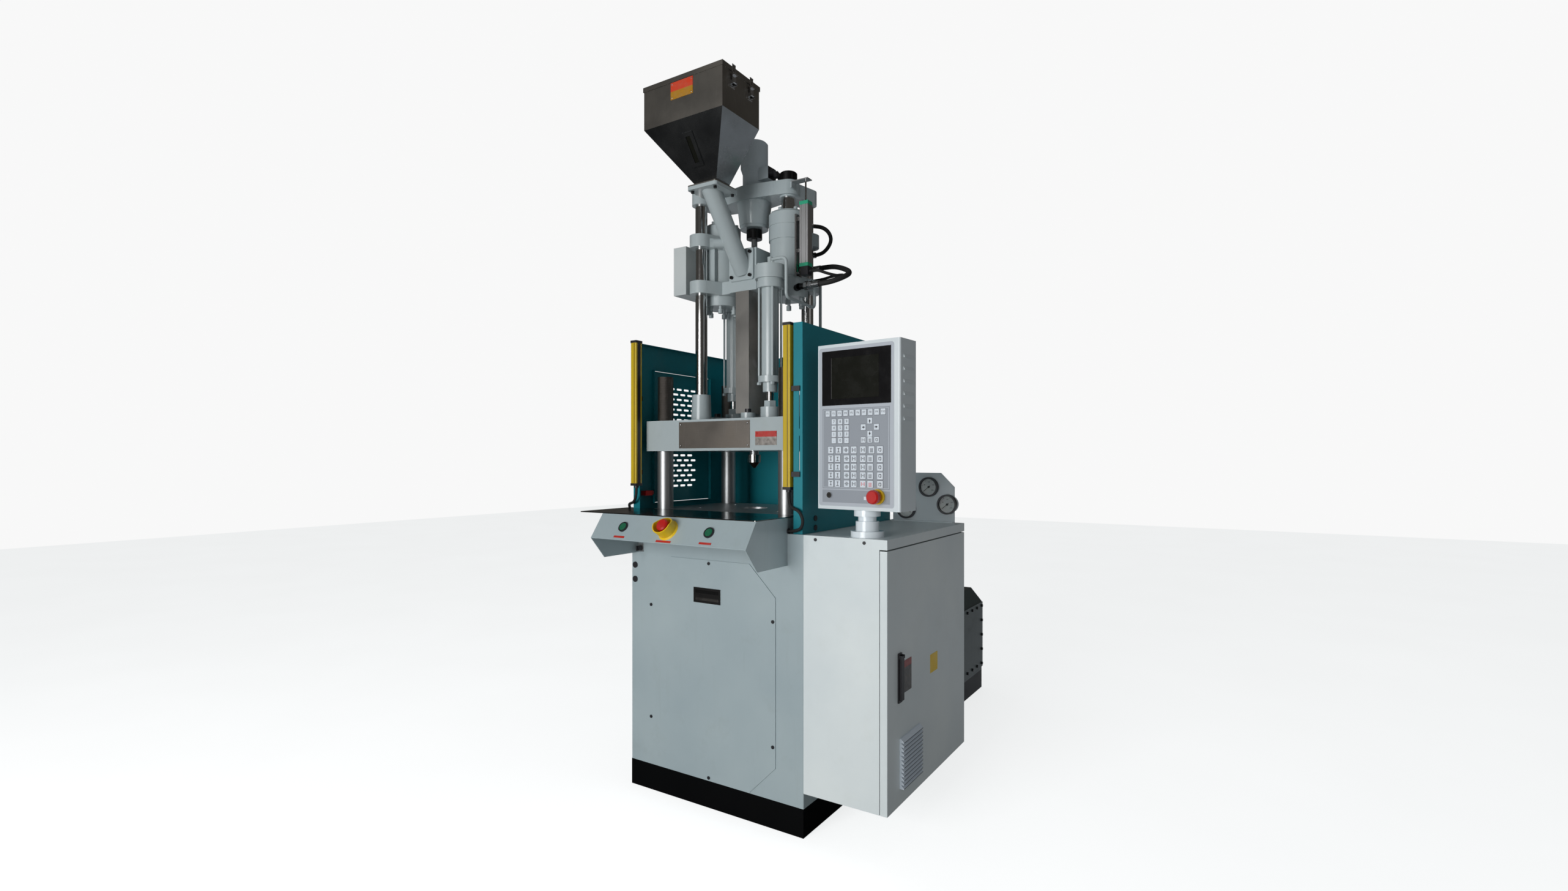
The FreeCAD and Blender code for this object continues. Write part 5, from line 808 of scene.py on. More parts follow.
def fit(piece: Object, body: str, coat: Coat) -> None:
    """Gives a finished piece its body and finish, and logs it.

    Args:
        piece: the object.
        body: the body it rides on.
        coat: its finish.
    """
    piece.data.materials.clear()
    piece.data.materials.append(coat.material())
    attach(piece, body)
    LOG.info("piece %s rides on %s", piece.name, body)


@dataclass(frozen=True)
class StopGrip:
    """Ring of grip ribs round the head of a stop button."""

    radius: float = 0.020
    low: float = 0.0225
    rib: Point = (0.0016, 0.0026, 0.013)
    taper: float = 0.7
    sunk: float = 0.0005
    count: int = 26

    def build(self, name: str, body: str, face: Matrix) -> None:
        """Makes the ribs.

        Args:
            name: the object's name.
            body: the body it rides on.
            face: matrix of the face that the button stands on, Z outwards.
        """
        rib = Bench.slab("rib_pattern", self.rib)
        Bench.faces(rib, upward)
        bpy.ops.transform.resize(value=(self.taper, self.taper, 1.0))
        Bench.done()
        Bench.soften(rib, 0.0005)
        low, out = face @ shift(0, 0, self.low), shift(0, self.radius - self.sunk, 0)
        places = [low @ turn(2 * math.pi * k / self.count) @ out for k in range(self.count)]
        fit(Bench.copies(rib, places, name), body, Coat.RED)


@dataclass(frozen=True)
class PlatePins:
    """Four domed pins that hold a plate on a front face."""

    x: Pair
    y: float
    z: Pair
    inset: float
    radius: float
    height: float
    foot: float = 0.35
    dome: tuple[Pair, ...] = ((0.82, 0.30), (0.62, 0.22), (0.55, 0.13))

    def build(self, name: str, body: str) -> None:
        """Makes the pins.

        Args:
            name: the object's name.
            body: the body it rides on.
        """
        pin = Bench.cylinder("pin_pattern", self.radius, self.height * self.foot, 16)
        Bench.faces(pin, upward)
        for share, rise in self.dome:
            up = (0, 0, self.height * rise)
            bpy.ops.mesh.extrude_region_move(TRANSFORM_OT_translate={"value": up})
            bpy.ops.transform.resize(value=(share, share, 1.0))
        Bench.pick(pin)
        bpy.ops.object.shade_smooth_by_angle(angle=math.radians(50))
        places = [front(x, self.y, z) for x in (self.x[0] + self.inset, self.x[1] - self.inset)
                  for z in (self.z[0] + self.inset, self.z[1] - self.inset)]
        fit(Bench.copies(pin, places, name), body, Coat.BRIGHT)


@dataclass
class Assembly:
    """A sub-assembly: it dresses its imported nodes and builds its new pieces."""

    nodes: dict[str, Object]

    def coat(self, node: str, main: Coat, *rules: tuple[Coat, FaceTest]) -> None:
        """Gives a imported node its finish, and other finishes to the faces that tests pick.

        Args:
            node: the node's name.
            main: finish of the rest.
            rules: finish and face test pairs, the first match wins.
        """
        mesh = self.nodes[node].data
        mesh.materials.clear()
        for coat in (main, *(coat for coat, _ in rules)):
            mesh.materials.append(coat.material())
        for face in mesh.polygons:
            hits = (k for k, (_, test) in enumerate(rules, 1) if test(face.center, face.normal))
            face.material_index = next(hits, 0)

    def plain(self, **coats: Coat) -> None:
        """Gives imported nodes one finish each, by name."""
        for node, coat in coats.items():
            self.coat(node, coat)

    def build(self) -> None:
        """Dresses the nodes and builds the pieces."""
        raise NotImplementedError


# ---------------- studio
@dataclass(frozen=True)
class Lamp:
    """A soft light: its name, its place, the point that it faces, its two sides and watts."""

    name: str
    place: Point
    aim: Point
    size: Pair
    watts: float

    def build(self) -> None:
        """Adds the light."""
        data = bpy.data.lights.new(self.name, "AREA")
        data.shape, data.energy = "RECTANGLE", self.watts
        data.size, data.size_y = self.size
        lamp = bpy.data.objects.new(self.name, data)
        lamp.location = self.place
        sight = Vector(self.aim) - Vector(self.place)
        lamp.rotation_euler = sight.to_track_quat("-Z", "Y").to_euler()
        bpy.context.scene.collection.objects.link(lamp)


@dataclass
class Studio:
    """Floor, world, lights and camera."""

    camera_at: Point = (1.534, -2.219, 1.168)
    camera_turn: float = 32.75
    lens: float = 16.754
    lens_shift: Pair = (0.0034, 0.0085)
    floor_side: float = 24.0
    mirrored_depth: float = 1.6
    lamps: tuple[Lamp, ...] = (
        Lamp("key_window", (-0.1, -5.2, 1.4), (0.1, 0.0, 1.25), (2.6, 2.4), 158.0),
        Lamp("right_wall", (5.0, -0.6, 1.6), (0.3, 0.2, 1.1), (1.6, 2.6), 5.5),
        Lamp("ceiling", (0.2, -0.8, 4.6), (0.1, 0.2, 1.0), (2.6, 2.6), 5.0))

    def build(self) -> None:
        """Builds the surroundings."""
        self._floor()
        self._world()
        for lamp in self.lamps:
            lamp.build()
        self._camera()
        bpy.context.scene.view_settings.view_transform = "Standard"

    def _floor(self) -> None:
        """Lays a pale floor, trowelled a little unevenly, that looks dim in polished metal except
        behind the machine, where its glow is a painted reflection that greys towards the back.
        """
        Bench.clear()
        bpy.ops.mesh.primitive_plane_add(size=self.floor_side)
        floor = bpy.context.object
        floor.name = "studio_floor"
        paint = bpy.data.materials.new("studio_floor")
        paint.use_nodes = True
        net = Net(paint.node_tree)
        where, path, black = net.place(), net.put("LightPath").outputs, (0.0, 0.0, 0.0)
        cloud = net.noise(where, 1.4, 5.0)
        pale = net.mix(cloud, (0.72, 0.72, 0.72), (0.80, 0.80, 0.80))
        # Floor glow seen only by glossy rays: painted reflection, black in front of the machine and
        # grey behind it.
        behind = net.span(net.axis(where, 1), 0.0, self.mirrored_depth)
        painted_reflection = net.mix(behind, black, (0.30, 0.32, 0.34))
        unseen = net.mix(path["Is Glossy Ray"], black, painted_reflection)
        net.fill(net.tree.nodes["Principled BSDF"], {
            "Base Color": net.mix(path["Is Glossy Ray"], pale, (0.02, 0.02, 0.02)),
            "Roughness": net.span(cloud, 0.3, 0.7, 0.5, 0.65), "Specular IOR Level": 0.2,
            "Emission Color": net.mix(path["Is Camera Ray"], unseen, (0.74, 0.75, 0.75)),
            "Emission Strength": 1.0})
        floor.data.materials.append(paint)

    @staticmethod
    def _world() -> None:
        """Sets a pale backdrop that lights softly and looks dim in polished metal."""
        world = bpy.data.worlds.new("studio")
        bpy.context.scene.world = world
        world.use_nodes = True
        net = Net(world.node_tree)
        net.tree.nodes.clear()
        path = net.put("LightPath").outputs
        lit = net.mix(path["Is Glossy Ray"], (0.16, 0.165, 0.17), (0.055, 0.052, 0.048))
        seen = net.mix(path["Is Camera Ray"], lit, (0.94, 0.94, 0.94))
        back = net.put("Background", {"Color": seen, "Strength": 1.0})
        net.put("OutputWorld", {"Surface": back.outputs[0]})

    def _camera(self) -> None:
        """Sets the camera level at the photograph's place."""
        data = bpy.data.cameras.new("camera")
        data.lens, data.clip_end = self.lens, 60.0
        data.shift_x, data.shift_y = self.lens_shift
        camera = bpy.data.objects.new("camera", data)
        camera.location = self.camera_at
        camera.rotation_euler = (math.radians(90.0), 0.0, math.radians(self.camera_turn))
        bpy.context.scene.collection.objects.link(camera)
        bpy.context.scene.camera = camera


# ---------------- base and console
@dataclass
class BaseMachine(Assembly):
    """Plinth, base housing with its front cover, tank, table and clamp cylinder."""

    def build(self) -> None:
        """Dresses the base."""
        self.plain(plinth=Coat.PLINTH, base_frame=Coat.BODY, front_cover=Coat.BODY,
                   table_block=Coat.GROUND, table_sheet=Coat.WET_SHEET,
                   clamp_cylinder=Coat.MACHINED, crosshead=Coat.MACHINED)
        # The tank's dark enamel is partly painted shade.
        self.coat("oil_tank", Coat.TANK, (Coat.BLACKENED, band(0, 393.8, 402)))
        self.coat("front_hardware", Coat.BLACK,
                  (Coat.CHROME, within((-47, -297, 683), (69, -270, 736))))
        self.coat("pump_set", Coat.MOTOR,
                  (Coat.BLACKENED, within((240, 1240, 500), (340, 1340, 560))))


@dataclass
class Console(Assembly):
    """Two-hand console with its buttons, shrouded stop, tags and selector."""

    face_centre: Point = (0.0, -0.490, 0.945)
    face_rise: Point = (0, 54.0, 78.0)
    stop_x: float = 0.0115

    def build(self) -> None:
        """Dresses the console and adds the ribs of the stop."""
        self.coat("console", Coat.BODY,
                  (Coat.ALUMINIUM, within((-301, -297, 837), (-275, -293.6, 869))))
        self.coat("console_trim", Coat.YELLOW,
                  (Coat.RED_FILM, lambda c, n: c.z < 0.9195 and abs(c.x) > 0.15),
                  (Coat.RED_FILM, within((-19, -517, 908), (43, -505, 915.2))),
                  (Coat.RED, within((-366, -216, 1030), (-336, -158, 1052))))
        self.plain(switch_bezels=Coat.BLACK, left_button=Coat.GREEN_LENS,
                   right_button=Coat.GREEN_LENS, console_stop_head=Coat.RED,
                   selector_knob=Coat.BLACK)
        face = facing(self.face_centre, (1, 0, 0), self.face_rise)
        StopGrip().build("console_stop_ribs", "console_stop", face @ shift(self.stop_x, 0, 0))


# ---------------- clamp and injection unit
@dataclass
class ClampUnit(Assembly):
    """Tie bars, moving platen with its plates, and the carriage's piston rods."""

    pins: PlatePins = PlatePins(x=(-0.162, 0.144), y=-0.237, z=(1.205, 1.297), inset=0.009,
                                radius=0.0032, height=0.0022)

    def build(self) -> None:
        """Dresses the clamp and pins its plate."""
        self.coat("tie_bars", Coat.MACHINED, (Coat.THREADED, band(2, 1304, 1466.5)),
                  (Coat.CHROME, band(2, 987, 1304)))
        self.coat("upper_platen", Coat.UNIT)
        self.coat("platen_trim", Coat.BLACK,
                  (Coat.NAMEPLATE, within((-163, -238, 1204), (145, -233.5, 1298))),
                  (Coat.PLATEN_PLATE, within((165, -238, 1212), (251, -233.5, 1260))))
        self.coat("lift_rods", Coat.CHROME, (Coat.UNIT, band(2, 1340, 1364.5)))
        self.pins.build("platen_plate_pins", "clamp")


@dataclass
class InjectionUnit(Assembly):
    """Carriage, cylinders, barrel, feed pipe, drive, scale and unions."""

    pad_screws: tuple[Point, ...] = (
        (0.040, -0.092, 1.908), (-0.040, -0.092, 1.824), (0.040, -0.092, 1.824))
    socket_radius: float = 0.0032
    socket_lip: float = 0.0006
    socket_sunk: float = 0.0003

    def build(self) -> None:
        """Dresses the unit and sockets its black screws."""
        self.plain(lift_cylinders=Coat.UNIT, injection_cylinders=Coat.UNIT,
                   barrel_shield=Coat.SHIELD, guide_rods=Coat.CHROME)
        self.coat("carriage", Coat.UNIT,
                  (Coat.TERMINAL, within((-285, -123, 1779), (-224.8, 21, 1960))))
        self.coat("barrel", Coat.MACHINED, (Coat.TINTED, band(2, 1130, 1154.9)),
                  (Coat.CHROME, band(2, 1154.9, 1183.2)),
                  (Coat.BRIGHT, lambda c, n: c.z > 1.344 and math.hypot(c.x, c.y) > 0.0255))
        self.coat("feed_pipe", Coat.UNIT, (Coat.BLACKENED, self._flange_screw),
                  (Coat.BLACKENED, within((-47, -92.5, 1817), (47, -84.05, 1915))))
        self.coat("linear_scale", Coat.ALUMINIUM, (Coat.GREEN_CAP, band(2, 1836.1, 1848.1)),
                  (Coat.GREEN_CAP, band(2, 2050.9, 2064)),
                  (Coat.BLACK, within((225, -46, 1805), (256, -15, 1836.2))),
                  (Coat.BRIGHT, within((208, -57, 1803), (221.5, -20, 2020))))
        self.coat("hose_unions", Coat.BRIGHT,
                  (Coat.BLACKENED, within((198, -64, 1749), (243, -27, 1783))),
                  (Coat.BLACKENED, within((195, 37, 1994), (205, 67, 2016))),
                  (Coat.BLACK, within((254, -38, 1812), (264, -22, 1828))))
        self.coat("injection_plate", Coat.UNIT, (Coat.BLACKENED, band(2, 2156.1, 2192)),
                  (Coat.ALUMINIUM, within((200.5, -47, 2117), (255, -13, 2142))))
        # The motor's paler enamel is painted light against the hopper's shadow.
        self.coat("screw_motor", Coat.MOTOR,
                  (Coat.BLACK, within((77.8, -25, 2176), (114, 25, 2216))))
        self.coat("screw", Coat.MACHINED, (Coat.BLACKENED, band(2, 1976, 2010)))
        self._sockets()

    @staticmethod
    def _flange_screw(centre: Vector, normal: Vector) -> bool:
        """Tells whether a face is on a screw at a corner of the feed pipe's flange."""
        corner = abs(centre.x) > 0.041 and abs(centre.y + 0.25) > 0.041
        return corner and 2.0659 < centre.z < 2.07395

    def _sockets(self) -> None:
        """Sinks a hexagon socket into each screw of the pad."""
        socket = Bench.cylinder("socket_pattern", self.socket_radius, 0.0004, 6)
        Bench.faces(socket, upward)
        bpy.ops.mesh.inset(thickness=self.socket_lip)
        bpy.ops.transform.translate(value=(0, 0, -self.socket_sunk))
        Bench.done()
        made = Bench.copies(socket, [front(*spot) for spot in self.pad_screws], "pad_screw_sockets")
        fit(made, "carriage", Coat.GLOSS_BLACK)


@dataclass
class Hopper(Assembly):
    """Granule bin over its funnel, with lid, sight slot, plate and latches."""

    half_x: float = 0.1635
    front_y: float = -0.411
    seam_z: Point = (2.388, 2.264, 2.090)
    outlet: Pair = (0.040, -0.283)
    pip_radius: float = 0.0011
    pip_length: float = 0.010
    pip_pitch: float = 0.018
    pip_inward: float = 0.0007
    pins: PlatePins = PlatePins(x=(-0.046, 0.046), y=-0.4122, z=(2.334, 2.389), inset=0.006,
                                radius=0.0024, height=0.0016)

    def build(self) -> None:
        """Dresses the hopper, pins its plate and lays its welded seams."""
        self.coat("hopper", Coat.STAINLESS,
                  (Coat.HOPPER_PLATE, within((-47, -413, 2333), (47, -411.05, 2390))),
                  (Coat.BRIGHT, within((163.6, -372, 2339), (177, -248, 2375))),
                  # The sight slot takes the near-black pane finish: painted shade of the bin's
                  # inside.
                  (Coat.DISPLAY, within((-9.2, -384, 2149), (9.2, -327, 2220))),
                  (Coat.FUNNEL, within((-23, -392, 2136), (23, -320, 2231))),
                  (Coat.FUNNEL, lambda c, n: n.z < -0.3 and c.z < 2.2635))
        self.plain(hopper_lid=Coat.STAINLESS, latch_lever_1=Coat.BRIGHT,
                   latch_lever_2=Coat.BRIGHT)
        self.pins.build("hopper_plate_pins", "carriage")
        beads, (top, knee, low) = [], self.seam_z
        for side in (-1, 1):
            line = [Vector((side * self.half_x, self.front_y, z)) for z in (top, knee)]
            line.append(Vector((side * self.outlet[0], self.outlet[1], low)))
            beads += [self._bead(a, b, side) for a, b in zip(line, line[1:])]
        fit(Bench.join(beads, "hopper_weld_seams"), "carriage", Coat.STAINLESS)

    def _bead(self, a: Vector, b: Vector, side: int) -> Object:
        """Makes a row of ground weld pips between two points of a corner.

        Args:
            a: one end.
            b: the other end.
            side: -1 for the left corner, 1 for the right.

        Returns:
            The joined pips.
        """
        pip = Bench.cylinder("pip_pattern", self.pip_radius, self.pip_length, 8)
        Bench.faces(pip, lambda c, n: abs(n.z) > 0.9)
        bpy.ops.transform.resize(value=(0.45, 0.45, 1.0))
        Bench.done()
        Bench.soften(pip, 0.0003, 1)
        run, inward = b - a, Vector((-side * self.pip_inward, self.pip_inward, 0))
        tilt = run.to_track_quat("Z", "X").to_matrix().to_4x4()
        count = max(3, int(run.length / self.pip_pitch))
        spots = (a + inward + run * ((k + 0.25) / count) for k in range(count))
        return Bench.copies(pip, [Matrix.Translation(spot) @ tilt for spot in spots], "hopper_bead")


# ---------------- guards, light bars, cabinet
@dataclass
class Guards(Assembly):
    """Painted guards round the clamp space, and the hinged side door."""

    def build(self) -> None:
        """Dresses the guards."""
        self.plain(right_guard=Coat.TEAL, left_guard_door=Coat.TEAL)
        self.coat("left_guard", Coat.TEAL,
                  (Coat.BLACKENED, within((-376, 183, 1039), (-367.3, 205, 1383))))


@dataclass
class LightBars(Assembly):
    """The two yellow light bars with their caps, windows and clips."""

    centres: Pair = (-0.3285, 0.3220)
    seal: Point = (0.0022, 0.0008, 0.504)
    seal_off: float = 0.004
    seal_y: float = -0.2910
    seal_z: float = 1.081

    def build(self) -> None:
        """Dresses the bars and adds the seal strip along each front."""
        self.coat("curtain_bars", Coat.BAR_YELLOW)
        self.coat("curtain_fittings", Coat.BLACK,
                  (Coat.GLOSS_BLACK, within((-318, -285, 1079), (-315.5, -266, 1587))),
                  (Coat.GLOSS_BLACK, within((308, -285, 1079), (310.5, -266, 1587))))
        strips = []
        for x in self.centres:
            strip = Bench.slab("light_bar_seal", self.seal)
            Bench.soften(strip, 0.0003)
            place = shift(x + self.seal_off, self.seal_y, self.seal_z)
            strips.append(Bench.place(strip, place))
        fit(Bench.join(strips, "light_bar_seals"), "base", Coat.BLACK)


@dataclass
class Cabinet(Assembly):
    """Electrical cabinet with its door, handle, grille and plates, under the panel's post."""

    def build(self) -> None:
        """Dresses the cabinet."""
        self.plain(cabinet_door=Coat.CABINET, door_handle=Coat.BLACK)
        self.coat("cabinet", Coat.CABINET,
                  (Coat.POST, within((520, -280, 934.05), (622, -178, 997))))
        # The louvres' fronts take a dark finish that paints the shade beneath each slat.
        self.coat("door_trim", Coat.BLACK, (Coat.GRILLE_LIP, self._grille_shade_face),
                  (Coat.GRILLE, within((663.9, -203, 187), (679, -49, 338))),
                  (Coat.YELLOW, within((663.9, 44, 469), (665, 111, 531))),
                  (Coat.DOOR_PLATE, within((663.9, -173, 464), (665.2, -113, 562))))

    @staticmethod
    def _grille_shade_face(centre: Vector, normal: Vector) -> bool:
        """Tells whether a face is on the front of a louvre, whose dark finish paints the shade
        beneath each slat.
        """
        louvres = centre.x > 0.6655 and centre.z < 0.336 and -0.199 < centre.y < -0.053
        return normal.x > 0.9 and louvres


# ---------------- control panel
class Motif(Enum):
    """Pictograms of the machine keys, as rectangles: centre, then size, in shares of a key."""

    OPEN = ((-0.25, 0.0, 0.10, 0.55), (0.25, 0.0, 0.10, 0.55), (0.0, 0.0, 0.26, 0.08))
    CLOSE = ((-0.10, 0.0, 0.10, 0.55), (0.10, 0.0, 0.10, 0.55), (-0.28, 0.0, 0.18, 0.08),
             (0.28, 0.0, 0.18, 0.08))
    UP = ((0.0, -0.05, 0.10, 0.45), (0.0, 0.22, 0.34, 0.09), (0.0, -0.30, 0.50, 0.07))
    DOWN = ((0.0, 0.05, 0.10, 0.45), (0.0, -0.22, 0.34, 0.09), (0.0, 0.30, 0.50, 0.07))
    TURN = ((-0.18, 0.0, 0.09, 0.40), (0.18, 0.0, 0.09, 0.40), (0.0, 0.20, 0.36, 0.09),
            (0.05, -0.20, 0.26, 0.09))
    HEAT = ((-0.20, 0.0, 0.08, 0.45), (0.0, 0.0, 0.08, 0.45), (0.20, 0.0, 0.08, 0.45),
            (0.0, -0.30, 0.56, 0.07))


@dataclass
class ControlPanel(Assembly):
    """Swivelling panel: display, keypad with its prints, key switch and stop."""

    pivot: Pair = (0.571, -0.229)
    corner: Point = (0.423, -0.279, 1.514)
    swing: float = math.radians(-5.0)
    film: float = 0.0012
    glass_out: float = 0.0015
    glass_frame: float = 0.0009
    key_out: float = 0.0020
    key_gap: float = 0.0008
    key_line: float = 0.0006
    name_size: float = 0.0085
    digit_size: float = 0.0110
    ink: float = 0.0001
    screen: Rect = (0.0526, 0.0416, 0.165, 0.124)
    pad: Rect = (0.020, 0.1945, 0.253, 0.436)
    stop_at: Pair = (0.2155, 0.456)
    lock_at: Pair = (0.172, 0.462)

    def plane(self, x: float, down: float, out: float = 0.0) -> Matrix:
        """Returns the matrix of a plane on the panel's front.

        Args:
            x: from the panel's left edge.
            down: from its top edge.
            out: in front of its face.

        Returns:
            Matrix with X along the panel, Y up and Z outwards.
        """
        about = shift(*self.pivot, 0.0)
        x0, y0, z0 = self.corner
        return about @ turn(self.swing) @ about.inverted() @ front(x0 + x, y0 - out, z0 - down)

    def region(self, x: Pair, down: Pair, out: float) -> FaceTest:
        """Returns a test for faces of a field of the front, in millimetres.

        Args:
            x: the field's sides, from the panel's left edge.
            down: its top and bottom, from the panel's top edge.
            out: height over the panel's face that they are above.

        Returns:
            The test.
        """
        back = self.plane(0.0, 0.0).inverted()

        def test(centre: Vector, normal: Vector) -> bool:
            """Tells whether a face is in the field."""
            px, py, pz = (back @ centre) * MM
            return x[0] <= px <= x[1] and down[0] <= -py <= down[1] and pz > out
        return test

    @staticmethod
    def keys() -> list[Rect]:
        """Returns each key's centre, as x and distance from the top, and its two sides."""
        rows = [(39.8 + 21.3 * k, 209.4, 15.5, 17.5) for k in range(10)]
        rows += [(62.1 + 22.6 * c, 234.3 + 18.9 * r, 15.7, 16.7)
                 for r in range(4) for c in range(3)]
        rows += [(187.0, 234.7, 16.5, 17.5), (165.0, 253.2, 16.5, 17.5),
                 (209.5, 253.2, 16.5, 17.5), (187.0, 272.7, 16.5, 17.5)]
        rows += [(165.0 + 22.5 * c, 290.5, 15.7, 16.7) for c in range(3)]
        rows += [(x, 319.6, 19.5, 20.8) for x in (51.0, 78.5, 104.9, 132.5, 163.8, 193.0, 221.0)]
        rows += [(x, 345.5 + 24.9 * r, 19.0, 20.5) for r in range(4)
                 for x in (51.0, 75.3, 107.5, 132.5, 163.5, 188.2, 221.0)]
        return [tuple(value / MM for value in row) for row in rows]

    def build(self) -> None:
        """Dresses the panel and prints its keys."""
        self.coat("panel_case", Coat.PANEL, (Coat.POST, band(2, 990, 1015.95)))
        self.coat("panel_face", Coat.SILVER,
                  (Coat.YELLOW, self.region((192, 239), (432, 480), 1.25)),
                  (Coat.CHROME, self.region((38, 56), (446, 465), 1.25)),
                  (Coat.GLOSS_BLACK, self.region((18.5, 257.5), (19.5, 185.5), 0.85)),
                  (Coat.KEY, self.region((19, 254), (196, 436), 1.25)),
                  (Coat.MEMBRANE, self.region((19.5, 253.5), (194, 478), 0.85)))
        self.plain(panel_stop_head=Coat.RED, key_core=Coat.CHROME)
        self._display()
        self._key_borders()
        self._outline()
        self._prints()
        StopGrip().build("panel_stop_ribs", "panel_stop", self.plane(*self.stop_at, self.film))

    def _display(self) -> None:
        """Sets the display glass into the dark window, with a fine frame."""
        x, down, width, height = self.screen
        glass = Bench.slab("display_glass", (width, height, 0.0004))
        Bench.faces(glass, upward)
        bpy.ops.mesh.inset(thickness=self.glass_frame, depth=-0.0002)
        Bench.done()
        glass.data.transform(self.plane(x + width / 2, down + height / 2, self.glass_out))
        fit(glass, "panel", Coat.DISPLAY)

    def _key_borders(self) -> None:
        """Prints a dark border round each key."""
        borders = []
        for x, down, width, height in self.keys():
            sides = (width + 2 * self.key_gap, height + 2 * self.key_gap, 0.0002)
            rim = Bench.slab("key_border", sides)
            Bench.faces(rim, upward)
            bpy.ops.mesh.inset(thickness=self.key_line)
            Bench.done()
            rim.data.transform(self.plane(x, down, self.film))
            borders.append(rim)
        fit(Bench.join(borders, "key_borders"), "panel", Coat.PRINT)

    def _outline(self) -> None:
        """Prints a fine pale line round the keypad, and the patch of the lock."""
        x0, top, x1, low = self.pad
        gap, fine, mid_x, mid = 0.004, 0.0007, (x0 + x1) / 2, (top + low) / 2
        lines = [(mid_x, down, x1 - x0 - 2 * gap, fine) for down in (top + gap, low - gap)]
        lines += [(x, mid, fine, low - top - 2 * gap) for x in (x0 + gap, x1 - gap)]
        made = [Bench.slab("keypad_line", (width, height, 0.00015), self.plane(x, down, self.film))
                for x, down, width, height in lines]
        patch = Bench.slab("lock_patch", (0.011, 0.010, 0.0002))
        Bench.soften(patch, 0.0001, 1)
        patch.data.transform(self.plane(*self.lock_at, self.film))
        fit(Bench.join([*made, patch], "keypad_outline"), "panel", Coat.KEY)

    def _prints(self) -> None:
        """Prints the key caps: function numbers, digits, arrows and pictograms."""
        keys = self.keys()
        functions, digits, arrows, machine = keys[:10], keys[10:22], keys[22:26], keys[26:]
        words = [("F%d" % k, self.name_size, key) for k, key in enumerate(functions, 1)]
        words += [(digit, self.digit_size, key) for digit, key in zip("789456123.0-", digits)]
        dark = [Bench.text(word, size, self.plane(x, down, self.key_out + self.ink))
                for word, size, (x, down, _, _) in words]
        for angle, (x, down, _, _) in zip((0, 90, -90, 180), arrows):
            dark.append(self._arrow(self.plane(x, down, self.key_out) @ turn(math.radians(angle))))
        red, red_keys, motifs = [], (len(machine) - 3, len(machine) - 2), list(Motif)
        for k, (x, down, w, h) in enumerate(machine):
            for cx, cy, sx, sy in motifs[(k * 5 + k // 7) % len(motifs)].value:
                place = self.plane(x + cx * w, down - cy * h, self.key_out)
                mark = Bench.slab("motif_mark", (sx * w, sy * h, self.ink), place)
                (red if k in red_keys else dark).append(mark)
        fit(Bench.join(dark, "key_prints"), "panel", Coat.PRINT)
        fit(Bench.join(red, "key_prints_red"), "panel", Coat.RED_PRINT)

    def _arrow(self, place: Matrix) -> Object:
        """Makes a printed arrow that points along the Y of its plane.

        Args:
            place: matrix of the plane.

        Returns:
            The arrow.
        """
        Bench.clear()
        bpy.ops.mesh.primitive_circle_add(vertices=3, radius=0.0042, fill_type="NGON")
        head = bpy.context.object
        bpy.ops.object.mode_set(mode="EDIT")
        bpy.ops.mesh.select_all(action="SELECT")
        bpy.ops.mesh.extrude_region_move(TRANSFORM_OT_translate={"value": (0, 0, self.ink)})
        Bench.done()
        head.data.transform(place)
        stem = Bench.slab("arrow_stem", (0.0022, 0.0050, self.ink), place @ shift(0, -0.0035, 0))
        return Bench.join([head, stem], "arrow_print")


# ---------------- gauges and cords
@dataclass
class Gauges(Assembly):
    """Three dial gauges on their bracket, with printed scales."""

    centres: tuple[Pair, ...] = ((0.443, 0.979), (0.532, 1.063), (0.603, 1.000))
    dial_y: float = 0.3738
    tick_at: float = 0.0260
    number_at: float = 0.0185
    ink: float = 0.0001
    sweep: float = math.radians(260.0)
    ticks: int = 27
    numbers: int = 5

    def build(self) -> None:
        """Dresses the gauges and prints their dials."""
        self.coat("gauges", Coat.PANEL, (Coat.DIAL, self._on_dial),
                  (Coat.BLACK, within((405, 363, 941), (641, 379.95, 1101))))
        self.plain(gauge_lenses=Coat.LENS, gauge_needle_1=Coat.BLACK, gauge_needle_2=Coat.BLACK,
                   gauge_needle_3=Coat.BLACK)
        prints = [mark for x, z in self.centres for mark in self._dial(front(x, self.dial_y, z))]
        fit(Bench.join(prints, "gauge_dial_prints"), "base", Coat.PRINT)

    def _on_dial(self, centre: Vector, normal: Vector) -> bool:
        """Tells whether a face is the front of a dial."""
        return abs(centre.y - self.dial_y) < 0.0002 and normal.y < -0.9

    def _dial(self, face: Matrix) -> list[Object]:
        """Prints one dial's ticks and numbers.

        Args:
            face: matrix of the dial, with its centre at the origin.

        Returns:
            The printed pieces.
        """
        made = []
        for k in range(self.ticks):
            angle = self.sweep * (0.5 - k / (self.ticks - 1))
            size = (0.0004, 0.0026, self.ink) if k % 5 else (0.0008, 0.0048, self.ink)
            place = face @ turn(angle) @ shift(0, self.tick_at, 0)
            made.append(Bench.slab("gauge_tick", size, place))
        for k in range(self.numbers):
            angle = self.sweep * (0.5 - k / (self.numbers - 1))
            x, z = -math.sin(angle) * self.number_at, math.cos(angle) * self.number_at
            made.append(Bench.text(str(k * 50), 0.0062, face @ shift(x, z, self.ink)))
        return made


@dataclass(frozen=True)
class CordRoute:
    """A cord's facts: its CAD node, diameter and points, the body it rides on and its lay."""

    node: str
    diameter: float
    points: tuple[Point, ...]
    body: str
    lay: str = "loose"


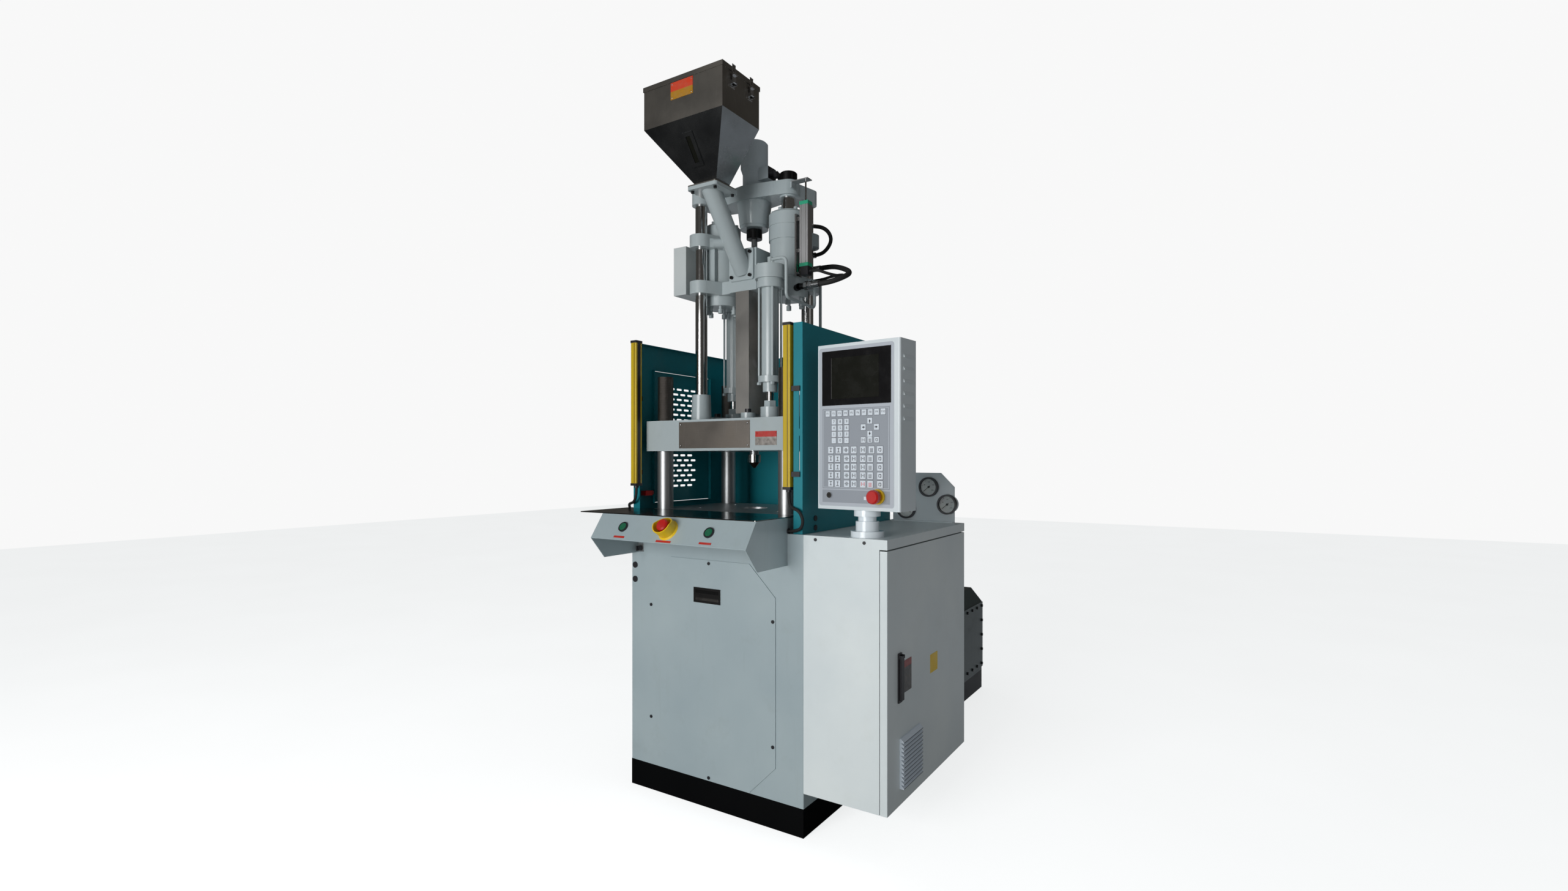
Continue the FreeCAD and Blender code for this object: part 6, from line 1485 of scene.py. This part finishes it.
ROUTES = (
    CordRoute("hose_1", 18.0, (
        (303, -49, 1766), (328.7, -49, 1766), (352.6, -40.1, 1771.2), (370.4, -23.5, 1780.5),
        (380.5, 1.8, 1793.9), (377, 31, 1808), (362, 58, 1823), (337, 82, 1838),
        (304, 104, 1854), (267, 128, 1868), (232, 146, 1876), (198, 146, 1876)), "carriage"),
    CordRoute("hose_2", 14.0, (
        (217, 58, 2005), (234.5, 72.7, 2005), (250, 88, 1998), (257, 106, 1986),
        (254, 125, 1972), (242, 140, 1958), (222.3, 148.1, 1941.5), (198, 150, 1929),
        (174, 150, 1929)), "carriage"),
    CordRoute("sensor_cable", 10.0, (
        (263, -30, 1820), (285, -30, 1820), (312, -16, 1808), (336, 12, 1802),
        (344, 46, 1808), (328, 80, 1820), (290, 108, 1830), (246, 132, 1834),
        (200, 150, 1834), (158, 150, 1834)), "carriage"),
    CordRoute("right_curtain_lead", 10.0, (
        (322, -275.5, 1063), (322, -275.5, 1035.9), (336.9, -285.8, 1015.7),
        (372.4, -294.5, 1007.7), (387.5, -294.6, 973.7), (367.1, -287.5, 943),
        (330, -287.5, 943)), "base", "hanging"),
    CordRoute("left_curtain_lead", 10.0, (
        (-328.5, -275.5, 1063), (-328.5, -275.5, 1036.4), (-347.6, -268.2, 1010.5),
        (-376.7, -253.7, 1004.9), (-402.7, -233.8, 1000.8), (-426.4, -212, 993.4),
        (-435.2, -193.3, 967.7), (-430.1, -179.4, 938.1), (-407.7, -172.9, 914.8),
        (-376.5, -172, 904), (-343.5, -172, 904)), "base", "hanging"),
)


@dataclass
class Cords(Assembly):
    """Hydraulic hoses, the sensor cable and the leads of the light bars."""

    stiff_from: float = 12.0

    def build(self) -> None:
        """Lays every cord along its route."""
        for route in ROUTES:
            self._lay(route)

    def _lay(self, route: CordRoute) -> None:
        """Lays one cord as a smooth line of round section.

        Args:
            route: the cord's facts.
        """
        points = [Vector(p) / MM for p in route.points]
        data = bpy.data.curves.new(route.node + "_line", "CURVE")
        data.dimensions = "3D"
        data.bevel_depth = route.diameter / (2 * MM)
        data.bevel_resolution, data.resolution_u, data.use_fill_caps = 6, 12, True
        line = data.splines.new("NURBS")
        line.points.add(len(points) - 1)
        for knot, point in zip(line.points, points):
            knot.co = (*point, 1.0)
        line.order_u, line.use_endpoint_u = 3, True
        cord = bpy.data.objects.new(route.node + "_sheath", data)
        bpy.context.scene.collection.objects.link(cord)
        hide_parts(route.node)
        length = sum((b - a).length for a, b in zip(points, points[1:]))
        fit(cord, route.body, Coat.RUBBER)
        tuple(points[0])


# ---------------- main
PARTS = (BaseMachine, Console, ClampUnit, InjectionUnit, Hopper, Guards, LightBars, Cabinet,
         ControlPanel, Gauges, Cords)


def main() -> None:
    """Loads the frame, dresses it and sets the studio round it."""
    logging.basicConfig(level=logging.INFO, format="%(name)s: %(message)s")
    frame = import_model()
    nodes = frame["nodes"]
    Studio().build()
    for part in PARTS:
        LOG.info("building %s", part.__name__)
        part(nodes).build()
    Bench.clear()
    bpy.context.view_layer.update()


if __name__ == "__main__":
    main()
